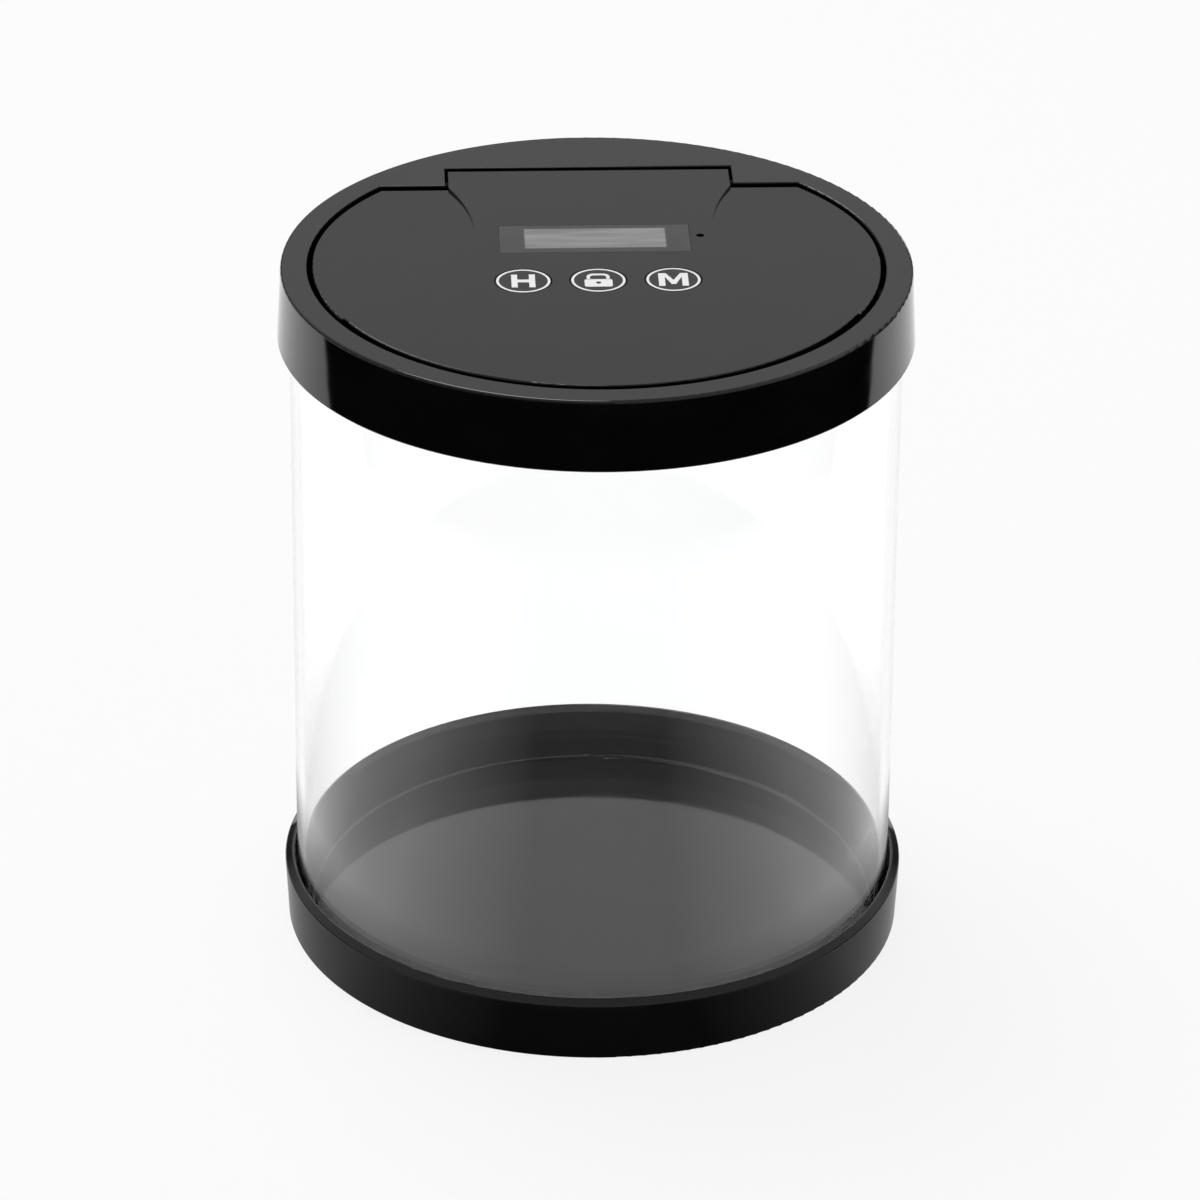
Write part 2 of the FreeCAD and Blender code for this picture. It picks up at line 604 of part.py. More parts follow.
def make_lid_ring():
    cap = new_body("ring_cap")
    foot_radius = plus(LID_RADIUS, size("lid_draft"))
    turned(cap, "cap", [
        ("0", PLATE_UNDERSIDE),
        (TUBE_SEAT, PLATE_UNDERSIDE),
        (TUBE_SEAT, SKIRT_FOOT),
        (foot_radius, SKIRT_FOOT),
        (LID_RADIUS, TOP),
        ("0", TOP),
    ])
    wall = size("well_wall")
    well_wall = well_block("well_wall_block", plus(MOUTH_RADIUS, wall),
                           plus(SHOULDER_LINE, wall), (LEDGE_FOOT, PLATE_UNDERSIDE))
    pocket_wall = mirrored_box("pocket_wall", plus(size("tab_half_width"), wall),
                               (SHOULDER_LINE, plus(POCKET_BACK, wall)),
                               (minus(POCKET_FLOOR, wall), PLATE_UNDERSIDE))
    boss_end = plus(size("tab_half_width"), size("pin_grip"), size("boss_end"))
    bosses = mirrored_box("pin_bosses", boss_end, (SHOULDER_LINE, TAB_BACK),
                          (minus(PIN_HEIGHT, size("pin_radius"), size("boss_floor")), PLATE_UNDERSIDE))
    solid = fuse("ring_solid", cap, well_wall, pocket_wall, bosses)
    above = past(TOP)
    well = well_block("well", MOUTH_RADIUS, SHOULDER_LINE, (LEDGE_TOP, above))
    ledge_hole = well_block("ledge_hole", minus(MOUTH_RADIUS, size("ledge_width")),
                            minus(SHOULDER_LINE, size("ledge_width")),
                            (before(LEDGE_FOOT), past(LEDGE_TOP)))
    pocket = mirrored_box("hinge_pocket", size("tab_half_width"), ("0", POCKET_BACK),
                          (POCKET_FLOOR, above))
    grip = plus(size("tab_half_width"), size("pin_grip"))
    pin_bore = cross_rod("pin_bore", size("pin_radius"), (minus(0, grip), grip), PIN_LINE, PIN_HEIGHT)
    strike_front = before(minus(0, MOUTH_RADIUS, wall))
    strike_back = minus(size("ledge_width"), MOUTH_RADIUS)
    strike = mirrored_box("strike", plus(BOLT_HALF, size("strike_play")), (strike_front, strike_back),
                          (minus(BOLT_FOOT, size("strike_play")), plus(BOLT_TOP, size("strike_play"))))
    ring = cut("ring_sharp", solid, well, ledge_hole, pocket, pin_bore, strike)
    doc.recompute()
    top = face_at(ring.Shape, value(TOP))
    picks = {}
    for wire in top.Wires:
        outer = wire.isSame(top.OuterWire)
        for edge in wire.Edges:
            picks[edge_number(ring.Shape, edge)] = size("lid_edge") if outer else size("mouth_edge")
    picks[ring_edge(ring.Shape, foot_radius, SKIRT_FOOT)] = size("skirt_edge")
    return finish(round_edges("ring_rounded", ring, picks), "lid_ring")


def make_hinge_pin():
    reach = plus(size("tab_half_width"), size("pin_grip"))
    pin = cross_rod("pin", size("pin_radius"), (minus(0, reach), reach), PIN_LINE, PIN_HEIGHT)
    return finish(pin, "hinge_pin")


def wing_relief(name, side):
    """The tool that slopes one wing down towards the shoulder, outside the console's arc."""
    back = minus(FLAP_BACK, size("wing_setback"))
    tool = doc.addObject("Part::Cylinder", name)
    tool.Placement = Placement(Vector(0, 0, 0), Rotation(Vector(-1, 0, 0), 1))
    tool.setExpression("Placement.Rotation.Angle", f"atan({size('wing_depth')} / {size('wing_run')})")
    bind(tool, Radius=size("wing_radius"), Height=size("flap_plate"))
    drop = f"((1 - {size('wing_setback')} / {size('wing_run')}) * {size('wing_depth')})"
    across = f"({side} * {plus(size('wing_waist'), size('wing_radius'))})"
    return place(tool, across, back, minus(TOP, drop))


def make_flap_cover():
    disc = tapered_rod("flap_disc", minus(FLAP_RADIUS, size("flap_draft")), FLAP_RADIUS, (FLAP_FOOT, TOP))
    beyond = past(FLAP_RADIUS)
    behind = mirrored_box("flap_behind", beyond, (FLAP_BACK, beyond), (FLAP_FOOT, TOP))
    sector = rod("front_sector", beyond, (FLAP_FOOT, TOP))
    sector.Placement = Placement(Vector(0, 0, 0), Rotation(Vector(0, 0, -1), 90))
    sector.setExpression("Placement.Rotation.Angle", f"(90 + {size('front_arc')}) * 1deg")
    bind(sector, Angle=f"2 * {size('front_arc')}")
    front = tapered_rod("front_cone", minus(FRONT_RADIUS, size("flap_draft")), FRONT_RADIUS,
                        (FLAP_FOOT, TOP))
    outer = cut("flap_outer", disc, behind, cut("front_relief", sector, front))
    tab = mirrored_box("hinge_tab", TAB_HALF, (CAVITY_BACK, TAB_BACK), (FLAP_CEILING, TOP))
    barrel = cross_rod("hinge_barrel", size("barrel_radius"), (minus(0, TAB_HALF), TAB_HALF),
                       PIN_LINE, PIN_HEIGHT)
    back_block = mirrored_box("barrel_back", TAB_HALF, (PIN_LINE, TAB_BACK), (PIN_HEIGHT, TOP))
    blank = fuse("flap_blank", outer, tab, barrel, back_block)
    doc.recompute()
    top = face_at(blank.Shape, value(TOP))
    picks = {}
    for edge in top.OuterWire.Edges:
        at_back = same(edge.BoundBox.YMin, value(TAB_BACK))
        picks[edge_number(blank.Shape, edge)] = size("barrel_edge") if at_back else size("mouth_edge")
    rounded = round_edges("flap_rounded", blank, picks)

    cavity = cut("flap_cavity",
                 tapered_rod("cavity_cone", minus(CAVITY_RADIUS, size("flap_draft")), CAVITY_RADIUS,
                             (FLAP_FOOT, FLAP_CEILING)),
                 mirrored_box("cavity_behind", beyond, (CAVITY_BACK, beyond), (FLAP_FOOT, FLAP_CEILING)))
    shell = cut("flap_shell", rounded, cavity)

    half_rib = f"{size('rib_width')} / 2"
    added = [shell]
    for number, step in enumerate((-1.5, -0.5, 0.5, 1.5), start=1):
        middle = f"({step} * {RIB_SPACING})"
        added.append(box(f"tab_rib_{number}", (minus(middle, half_rib), plus(middle, half_rib)),
                         (CAVITY_BACK, PIN_LINE), (BARREL_FOOT, FLAP_CEILING)))
    boss_foot = plus(HEAD_SEAT, size("screw_wall"), size("flap_fit"))
    taken = []
    for number, (across, up) in enumerate(flap_screw_places(), start=1):
        added.append(rod(f"screw_boss_{number}", plus(size("screw_radius"), size("screw_wall")),
                         (boss_foot, FLAP_CEILING), across, up))
        taken.append(rod(f"screw_pilot_{number}", size("screw_radius"),
                         (before(boss_foot), plus(HEAD_SEAT, size("screw_length"))), across, up))
    pilot_top = plus(BOARD_FOOT, size("board_screw_length"))
    for number, (across, up) in enumerate(board_screw_places(), start=1):
        added.append(rod(f"board_boss_{number}", size("board_boss_radius"), (BOARD_TOP, FLAP_CEILING),
                         across, up))
        taken.append(rod(f"board_pilot_{number}", size("board_screw_radius"), (BOARD_FOOT, pilot_top),
                         across, up))

    above = past(TOP)
    below = before(FLAP_CEILING)
    taken.append(cross_rod("barrel_bore", plus(size("pin_radius"), size("pin_play")),
                           (before(minus(0, TAB_HALF)), past(TAB_HALF)), PIN_LINE, PIN_HEIGHT))
    taken.append(wing_relief("wing_left", -1))
    taken.append(wing_relief("wing_right", 1))
    half_width = f"{size('window_width')} / 2"
    play = size("window_play")
    border = size("window_border")
    line = WINDOW_LINE
    taken.append(mirrored_box("window_recess", plus(f"{size('window_length')} / 2", play),
                              (minus(line, half_width, play), plus(line, half_width, play)),
                              (minus(TOP, size("window_thickness")), above)))
    opening_front = plus(minus(line, half_width), border)
    opening_back = minus(plus(line, half_width), border)
    taken.append(mirrored_box("window_opening", minus(f"{size('window_length')} / 2", border),
                              (opening_front, opening_back), (below, above)))
    for name, across in button_places():
        taken.append(rod(f"{name}_hole", plus(size("button_radius"), size("button_gap")), (below, above),
                         across, BUTTON_LINE))
    taken.append(rod("sound_opening", size("sound_hole"), (below, above),
                     BUZZER_ACROSS, BUZZER_LINE))
    taken.append(mirrored_box("bolt_opening", plus(BOLT_HALF, size("bolt_play")),
                              (minus(0, MOUTH_RADIUS), minus(size("flap_wall"), CAVITY_RADIUS)),
                              (UNDER_TOP, plus(BOLT_TOP, size("bolt_play")))))
    return finish(cut("flap_cover_cut", fuse("flap_cover_solid", *added), *taken), "flap_cover")


def make_flap_base():
    plate = well_block("under_plate_block", BASE_PLATE_RADIUS, minus(CAVITY_BACK, size("flap_fit")),
                       (FLAP_FOOT, UNDER_TOP))
    wall = size("bay_wall")
    below = before(FLAP_FOOT)
    bay = mirrored_box("bay_block", BAY_END,
                       (minus(BAY_FRONT, wall), plus(BAY_BACK, wall)),
                       (FLAP_FOOT, plus(BAY_TOP, size("bay_roof"))))
    added = [plate, bay]
    taken = [mirrored_box("bay_space", BAY_HALF_LENGTH, (BAY_FRONT, BAY_BACK), (below, BAY_TOP))]
    reach = plus(BAY_HALF_LENGTH, size("door_pin_length"))
    taken.append(cross_rod("door_pin_holes", plus(size("door_pin_radius"), size("door_pin_play")),
                           (minus(0, reach), reach), DOOR_LINE, DOOR_HEIGHT))
    for number, (across, up) in enumerate(flap_screw_places(), start=1):
        added.append(rod(f"head_boss_{number}", HEAD_BOSS,
                         (UNDER_TOP, plus(HEAD_SEAT, size("screw_wall"))), across, up))
        taken.append(rod(f"head_hole_{number}", HEAD_HOLE, (below, HEAD_SEAT), across, up))
        taken.append(rod(f"shank_hole_{number}", plus(size("screw_radius"), size("head_play")),
                         (FLAP_FOOT, past(plus(HEAD_SEAT, size("screw_wall")))), across, up))
    lead_hole = plus(size("lead_radius"), size("lead_play"))
    for name, side in (("left", -1), ("right", 1)):
        taken.append(depth_rod(f"lead_hole_{name}", lead_hole, (before(minus(BAY_FRONT, wall)), BAY_FRONT),
                               f"({side} * {LEAD_ACROSS})", LEAD_HEIGHT))
    lip_foot = plus(BOLT_TOP, size("bolt_play"))
    lip_top = plus(lip_foot, size("lip_thickness"))
    front_rails = plus(BOLT_TIP, size("rail_start"))
    rails = (("head", BOLT_HALF, (front_rails, plus(front_rails, RAIL_LENGTH))),
             ("bar", f"{size('rack_width')} / 2", (BACK_RAILS, BOLT_BACK)))
    for name, half, y_range in rails:
        guide = mirrored_box(f"{name}_guide", plus(half, size("bolt_play"), size("rail_width")), y_range,
                             (UNDER_TOP, lip_top))
        channel = mirrored_box(f"{name}_channel", plus(half, size("bolt_play")), y_range,
                               (UNDER_TOP, lip_foot))
        slot = mirrored_box(f"{name}_slot", minus(half, size("rail_lip")), y_range, (UNDER_TOP, lip_top))
        added.append(cut(f"{name}_rails", guide, channel, slot))
    half_motor = f"{size('motor_width')} / 2"
    inner_front = minus(PINION_LINE, half_motor, size("flap_fit"))
    inner_back = plus(PINION_LINE, half_motor, size("flap_fit"))
    cradle_x = (plus(GEARBOX_FACE, size("rail_width")), minus(MOTOR_BACK, size("rail_width")))
    cradle_y = (minus(inner_front, size("rail_width")), plus(inner_back, size("rail_width")))
    cradle_top = plus(UNDER_TOP, size("cradle_height"))
    cradle = box("cradle_block", cradle_x, cradle_y, (UNDER_TOP, cradle_top))
    nest = box("cradle_nest", cradle_x, (inner_front, inner_back), (MOTOR_FOOT, cradle_top))
    added.append(cut("motor_cradle", cradle, nest))
    return finish(cut("flap_base_cut", fuse("flap_base_solid", *added), *taken), "flap_base")


def make_battery_door():
    body = new_body("door_body")
    front = plus(BAY_FRONT, size("door_gap"))
    back = minus(BAY_BACK, size("door_gap"))
    half_length = minus(BAY_HALF_LENGTH, size("door_gap"))
    sketch = new_sketch(body, "door_outline", "XY_Plane", FLAP_FOOT)
    left = minus(0, half_length)
    outline(sketch, [(left, front), (half_length, front), (half_length, back), (left, back)])
    plate = pad(body, "door_plate", sketch, size("under_plate"))
    doc.recompute()
    edges = [f"Edge{index}" for index, edge in enumerate(plate.Shape.Edges, start=1)
             if same(edge.BoundBox.YMax, value(front)) and edge.BoundBox.XLength > value(half_length)]
    rounded = body.newObject("PartDesign::Fillet", "door_hinge_edge")
    rounded.Base = (plate, edges)
    bind(rounded, Radius=f"{FULL_ROUND} * {size('under_plate')}")
    reach = minus(plus(BAY_HALF_LENGTH, size("door_pin_length")), size("door_pin_play"))
    pins = cross_rod("door_pins", size("door_pin_radius"), (minus(0, reach), reach), DOOR_LINE, DOOR_HEIGHT)
    grooves = []
    half = f"{size('door_grip_width')} / 2"
    z_range = (before(FLAP_FOOT), plus(FLAP_FOOT, size("door_grip_depth")))
    for number in range(1, int(value(size("door_grip_count"))) + 1):
        middle = minus(back, f"{number} * {size('door_grip_pitch')}")
        grooves.append(mirrored_box(f"door_groove_{number}", f"{size('door_grip_length')} / 2",
                                    (minus(middle, half), plus(middle, half)), z_range))
    return finish(cut("door_cut", fuse("door_solid", body, pins), *grooves), "battery_door")


def make_display():
    window = new_body("display_window")
    sketch = new_sketch(window, "window_outline", "XY_Plane", minus(TOP, size("window_thickness")))
    rectangle(sketch, size("window_length"), size("window_width"), "0", WINDOW_LINE)
    pad(window, "window_pad", sketch, size("window_thickness"))
    finish(window, "display_window")

    glass = new_body("display_glass")
    glass_foot = minus(FLAP_CEILING, size("glass_thickness"))
    sketch = new_sketch(glass, "glass_outline", "XY_Plane", glass_foot)
    rectangle(sketch, GLASS_LENGTH, GLASS_WIDTH, "0", WINDOW_LINE)
    pad(glass, "glass_pad", sketch, size("glass_thickness"))
    finish(glass, "display_glass")

    strips = []
    half_length = minus(f"{GLASS_LENGTH} / 2", size("zebra_inset"))
    for name, side in (("front", -1), ("back", 1)):
        offset = f"({GLASS_WIDTH} / 2 - {size('zebra_inset')} - {size('zebra_width')} / 2)"
        middle = plus(WINDOW_LINE, f"{side} * {offset}")
        half = f"{size('zebra_width')} / 2"
        strips.append(mirrored_box(f"zebra_{name}", half_length, (minus(middle, half), plus(middle, half)),
                                   (BOARD_TOP, glass_foot)))
    finish(group("zebra_strips", strips), "display_connector_strips")


def make_circuit_board():
    board = new_body("circuit_board")
    sketch = new_sketch(board, "board_outline", "XY_Plane", BOARD_FOOT)
    rectangle(sketch, size("board_length"), size("board_width"), "0", BOARD_LINE)
    for across, up in board_screw_places():
        circle(sketch, size("board_screw_radius"), across, up)
    pad(board, "board_pad", sketch, size("board_thickness"))
    finish(board, "circuit_board")

    chip = new_body("controller_chip")
    sketch = new_sketch(chip, "chip_outline", "XY_Plane", minus(BOARD_FOOT, size("chip_thickness")))
    rectangle(sketch, size("chip_size"), size("chip_size"), "0", BOARD_LINE)
    pad(chip, "chip_pad", sketch, size("chip_thickness"))
    finish(chip, "controller_chip")

    top = plus(BOARD_TOP, size("buzzer_height"))
    across, up = BUZZER_ACROSS, BUZZER_LINE
    shell = rod("buzzer_shell", size("buzzer_radius"), (BOARD_TOP, top), across, up)
    mouth = rod("buzzer_opening", plus(size("sound_hole"), size("flap_fit")),
                (minus(top, size("buzzer_mouth")), past(top)), across, up)
    finish(cut("buzzer_cut", shell, mouth), "buzzer")


def make_buttons():
    switch_top = plus(BOARD_TOP, size("switch_height"))
    plunger_foot = minus(switch_top, size("plunger_depth"))
    plunger_top = plus(switch_top, size("plunger_rise"))
    flange_top = minus(FLAP_CEILING, size("flange_gap"))
    flange_foot = minus(flange_top, size("flange_thickness"))
    stem_foot = plus(plunger_top, size("touch_gap"))
    line = BUTTON_LINE
    half_side = f"{size('switch_side')} / 2"
    switches = []
    for name, across in button_places():
        button = new_body(f"{name}_button")
        cap = turned(button, f"{name}_cap", [
            ("0", stem_foot),
            (size("stem_radius"), stem_foot),
            (size("stem_radius"), flange_foot),
            (FLANGE_RADIUS, flange_foot),
            (FLANGE_RADIUS, flange_top),
            (size("button_radius"), flange_top),
            (size("button_radius"), TOP),
            ("0", TOP),
        ])
        soften(button, f"{name}_edge", cap, size("button_edge"), (size("button_radius"), TOP))
        finish(place(button, across, line), f"{name}_button")
        plunger = rod(f"{name}_plunger_rod", size("plunger_radius"), (plunger_foot, plunger_top),
                      across, line)
        finish(plunger, f"{name}_switch_plunger")
        case = box(f"{name}_switch_case", (minus(across, half_side), plus(across, half_side)),
                   (minus(line, half_side), plus(line, half_side)), (BOARD_TOP, switch_top))
        floor = minus(plunger_foot, size("button_travel"), size("plunger_play"))
        hole = rod(f"{name}_switch_hole", plus(size("plunger_radius"), size("plunger_play")),
                   (floor, past(switch_top)), across, line)
        switches.append(cut(f"{name}_switch", case, hole))
    finish(group("switches", switches), "button_switches")


def make_latch_bolt():
    """The bolt: a wide head at the front and a bar with rack teeth under the pinion."""
    bolt = new_body("bolt_body")
    sketch = new_sketch(bolt, "bar_profile", "YZ_Plane")
    corners = [(BOLT_TIP, BOLT_FOOT), (BOLT_BACK, BOLT_FOOT), (BOLT_BACK, BOLT_TOP)]
    slope = f"tan({size('pressure_angle')} * 1deg)"
    tooth_top = plus(BOLT_TOP, TOOTH_FOOT, size("tooth_module"))
    half_pitch_line = f"({TOOTH_PITCH} / 4 - {size('backlash')} / 2)"
    half_foot = plus(half_pitch_line, f"{TOOTH_FOOT} * {slope}")
    half_tip = minus(half_pitch_line, f"{size('tooth_module')} * {slope}")
    for number in reversed(range(int(value(size("rack_teeth"))))):
        middle = plus(PINION_LINE, f"({number} - {size('rack_lead')}) * {TOOTH_PITCH}")
        corners.append((plus(middle, half_foot), BOLT_TOP))
        corners.append((plus(middle, half_tip), tooth_top))
        corners.append((minus(middle, half_tip), tooth_top))
        corners.append((minus(middle, half_foot), BOLT_TOP))
    corners.append((BOLT_TIP, BOLT_TOP))
    outline(sketch, corners)
    bar = pad(bolt, "bolt_bar", sketch, size("rack_width"))
    bar.Midplane = True
    sketch = new_sketch(bolt, "head_profile", "YZ_Plane")
    outline(sketch, [
        (BOLT_TIP, BOLT_FOOT),
        (BOLT_HEAD_BACK, BOLT_FOOT),
        (BOLT_HEAD_BACK, BOLT_TOP),
        (BOLT_TIP, BOLT_TOP),
    ])
    head = pad(bolt, "bolt_head_pad", sketch, size("bolt_width"))
    head.Midplane = True
    return finish(bolt, "latch_bolt")


def polar(radius, turn):
    return Vector(0, radius * math.cos(turn), radius * math.sin(turn))


def involute_point(base, angle, turn):
    """A point of a circle's involute, unwound by an angle and turned about the axis."""
    unwound = math.atan2(math.sin(angle) - angle * math.cos(angle),
                         math.cos(angle) + angle * math.sin(angle))
    return polar(base * math.hypot(1, angle), turn + unwound)


def pinion_shape():
    """Involute teeth round a common root circle, each flank an arc through three points."""
    teeth = int(value(size("pinion_teeth")))
    pitch_radius = value(PITCH_RADIUS)
    tip_radius = pitch_radius + value(size("tooth_module"))
    root_radius = pitch_radius - value(TOOTH_FOOT)
    pressure = math.radians(value(size("pressure_angle")))
    base = pitch_radius * math.cos(pressure)
    unwound = math.tan(pressure) - pressure
    play = value(size("backlash")) / 2 / pitch_radius
    half_tooth = math.pi / 2 / teeth + unwound - play / 2
    tip_angle = math.sqrt((tip_radius / base) ** 2 - 1)
    edges = []
    for number in range(teeth):
        middle = 2 * math.pi * (number + 0.5) / teeth - math.pi / 2
        rising = [involute_point(base, share * tip_angle, middle - half_tooth) for share in FLANK_SHARES]
        falling = [polar(point.Length, 2 * middle - math.atan2(point.z, point.y)) for point in rising]
        root_start = polar(root_radius, middle - half_tooth)
        root_end = polar(root_radius, middle + half_tooth)
        next_start = polar(root_radius, middle - half_tooth + 2 * math.pi / teeth)
        root_middle = polar(root_radius, middle + math.pi / teeth)
        edges.append(Part.LineSegment(root_start, rising[0]).toShape())
        edges.append(Part.Arc(*rising).toShape())
        edges.append(Part.Arc(rising[2], polar(tip_radius, middle), falling[2]).toShape())
        edges.append(Part.Arc(falling[2], falling[1], falling[0]).toShape())
        edges.append(Part.LineSegment(falling[0], root_end).toShape())
        edges.append(Part.Arc(root_end, root_middle, next_start).toShape())
    width = value(size("pinion_width"))
    gear = Part.Face(Part.Wire(edges)).extrude(Vector(width, 0, 0))
    gear.translate(Vector(-width / 2, 0, 0))
    return gear


def make_latch_drive():
    middle = value(PINION_LINE)
    height = value(PINION_HEIGHT)
    bore = size("shaft_radius")
    inner_end = plus(GEARBOX_FACE, size("shaft_reach"))
    outer_end = f"0 - {size('pinion_width')} / 2"
    round_shaft = cross_rod("shaft_rod", bore, (outer_end, inner_end), PINION_LINE, PINION_HEIGHT)
    flat = box("shaft_flat_cut", (before(outer_end), GEARBOX_FACE),
               (minus(PINION_LINE, bore), plus(PINION_LINE, bore)),
               (minus(plus(PINION_HEIGHT, bore), size("shaft_flat")), past(plus(PINION_HEIGHT, bore))))
    shaft = finish(cut("shaft_cut", round_shaft, flat), "latch_shaft")
    doc.recompute()
    pinion = doc.addObject("Part::Feature", "pinion")
    pinion.Shape = pinion_shape().cut(shaft.Shape.translated(Vector(0, -middle, -height)))
    finish(place(pinion, "0", PINION_LINE, PINION_HEIGHT), "latch_pinion")

    half_width = f"{size('motor_width')} / 2"
    y_range = (minus(PINION_LINE, half_width), plus(PINION_LINE, half_width))
    motor_top = plus(MOTOR_FOOT, size("motor_height"))
    case = box("gearbox_case", (GEARBOX_FACE, GEARBOX_BACK), y_range, (MOTOR_FOOT, motor_top))
    shaft_hole = cross_rod("gearbox_hole", plus(bore, size("pin_play")),
                           (before(GEARBOX_FACE), plus(inner_end, size("pin_play"))),
                           PINION_LINE, PINION_HEIGHT)
    finish(cut("gearbox_cut", case, shaft_hole), "latch_gearbox")

    can = cross_rod("motor_can", half_width, (GEARBOX_BACK, MOTOR_BACK), PINION_LINE, PINION_HEIGHT)
    flats = box("motor_flats", (GEARBOX_BACK, MOTOR_BACK), y_range, (MOTOR_FOOT, motor_top))
    flat_can = doc.addObject("Part::MultiCommon", "motor_flat_can")
    flat_can.Shapes = [can, flats]
    bearing_end = plus(MOTOR_BACK, size("motor_cap_length"))
    bearing = cross_rod("motor_bearing", size("motor_cap"), (MOTOR_BACK, bearing_end),
                        PINION_LINE, PINION_HEIGHT)
    finish(fuse("motor_solid", flat_can, bearing), "latch_motor")


def make_batteries():
    bay_start = minus(0, BAY_HALF_LENGTH)
    first = plus(bay_start, size("contact_space"))
    for number, name in enumerate(("left", "right")):
        start = plus(first, f"{number} * {size('cell_length')}")
        shoulder = plus(start, size("cell_length"), f"0 - {size('nipple_length')}")
        end = plus(start, size("cell_length"))
        line = BAY_LINE
        can = cross_rod(f"{name}_can", size("cell_radius"), (start, shoulder), line, CELL_HEIGHT)
        nipple = cross_rod(f"{name}_nipple", size("nipple_radius"), (shoulder, end), line, CELL_HEIGHT)
        finish(fuse(f"{name}_cell", can, nipple), f"battery_cell_{name}")

    half = f"{size('contact_width')} / 2"
    y_range = (minus(BAY_LINE, half), plus(BAY_LINE, half))
    plate = box("plus_plate", (minus(BAY_HALF_LENGTH, size("contact_sheet")), BAY_HALF_LENGTH), y_range,
                (minus(CELL_HEIGHT, half), plus(CELL_HEIGHT, half)))
    finish(plate, "battery_contact_plus")

    leaf = new_body("battery_contact_minus")
    sketch = new_sketch(leaf, "leaf_profile", "XZ_Plane", minus(0, BAY_LINE))
    sheet_inside = plus(bay_start, size("contact_sheet"))
    tip = minus(first, size("contact_sheet"), size("touch_gap"))
    crown = size("leaf_crown")
    outline(sketch, [
        (bay_start, minus(CELL_HEIGHT, half)),
        (plus(sheet_inside, size("contact_sheet")), minus(CELL_HEIGHT, half)),
        (plus(tip, size("contact_sheet")), minus(CELL_HEIGHT, crown)),
        (plus(tip, size("contact_sheet")), plus(CELL_HEIGHT, crown)),
        (plus(sheet_inside, size("contact_sheet"), crown), plus(CELL_HEIGHT, half)),
        (plus(sheet_inside, crown), plus(CELL_HEIGHT, half)),
        (tip, plus(CELL_HEIGHT, f"{crown} / 2")),
        (tip, minus(CELL_HEIGHT, f"{crown} / 2")),
        (sheet_inside, minus(plus(CELL_HEIGHT, size("contact_sheet")), half)),
        (sheet_inside, plus(CELL_HEIGHT, half)),
        (bay_start, plus(CELL_HEIGHT, half)),
    ])
    strip = pad(leaf, "leaf_pad", sketch, size("contact_width"))
    strip.Midplane = True
    finish(leaf, "battery_contact_minus")


def lead(name, corners):
    """A wire on straight runs with round right-angled bends, given by its corners."""
    points = [Vector(*(value(part) for part in corner)) for corner in corners]
    bend = value(size("lead_bend"))
    edges = []
    start = points[0]
    for before, corner, after in zip(points, points[1:], points[2:]):
        inward = (before - corner).normalize()
        outward = (after - corner).normalize()
        entry = corner + inward * bend
        leave = corner + outward * bend
        centre = corner + (inward + outward) * bend
        middle = centre - (inward + outward).normalize() * bend
        if not same(start.distanceToPoint(entry), 0):
            edges.append(Part.LineSegment(start, entry).toShape())
        edges.append(Part.Arc(entry, middle, leave).toShape())
        start = leave
    if not same(start.distanceToPoint(points[-1]), 0):
        edges.append(Part.LineSegment(start, points[-1]).toShape())
    path = Part.Wire(edges)
    section = Part.Wire(Part.makeCircle(value(size("lead_radius")), points[0], points[1] - points[0]))
    solid = path.makePipeShell([section], True, False)
    swept = math.pi * value(size("lead_radius")) ** 2 * path.Length
    if abs(solid.Volume / swept - 1) > SWEEP_MISS:
        raise RuntimeError(f"{name} is not swept whole")
    wire = doc.addObject("Part::Feature", name)
    wire.Shape = solid
    return wire


def make_leads():
    """Wires from the battery contacts and the motor to the circuit board."""
    lane = minus(BAY_FRONT, size("bay_wall"), size("lead_lane"))
    contact_edge = minus(BAY_LINE, f"{size('contact_width')} / 2")
    back_pads = minus(BOARD_BACK, size("lead_inset"))
    battery_leads = []
    for name, side in (("minus", -1), ("plus", 1)):
        outside = f"({side} * {LEAD_ACROSS})"
        inside = f"({side} * {size('lead_pad')})"
        battery_leads.append(lead(f"battery_lead_{name}", [
            (outside, contact_edge, LEAD_HEIGHT),
            (outside, lane, LEAD_HEIGHT),
            (inside, lane, LEAD_HEIGHT),
            (inside, back_pads, LEAD_HEIGHT),
            (inside, back_pads, BOARD_TOP),
        ]))
    finish(group("battery_lead_pair", battery_leads), "battery_leads")

    height = minus(BOARD_FOOT, size("lead_drop"))
    pad_line = plus(BOARD_FRONT, size("lead_inset"))
    motor_leads = []
    for number, side in enumerate((1, -1)):
        lane_shift = f"({number} * 2 * {size('lead_lane')})"
        terminal = plus(PINION_LINE, f"{side} * {size('motor_width')} / 4")
        outside = plus(MOTOR_BACK, f"2 * {size('lead_lane')}", lane_shift)
        inside = minus(size("lead_pad"), lane_shift)
        front = minus(BOARD_FRONT, f"2 * {size('lead_lane')}", lane_shift)
        motor_leads.append(lead(f"motor_lead_{number + 1}", [
            (MOTOR_BACK, terminal, height),
            (outside, terminal, height),
            (outside, front, height),
            (inside, front, height),
            (inside, pad_line, height),
            (inside, pad_line, BOARD_FOOT),
        ]))
    finish(group("motor_lead_pair", motor_leads), "motor_leads")


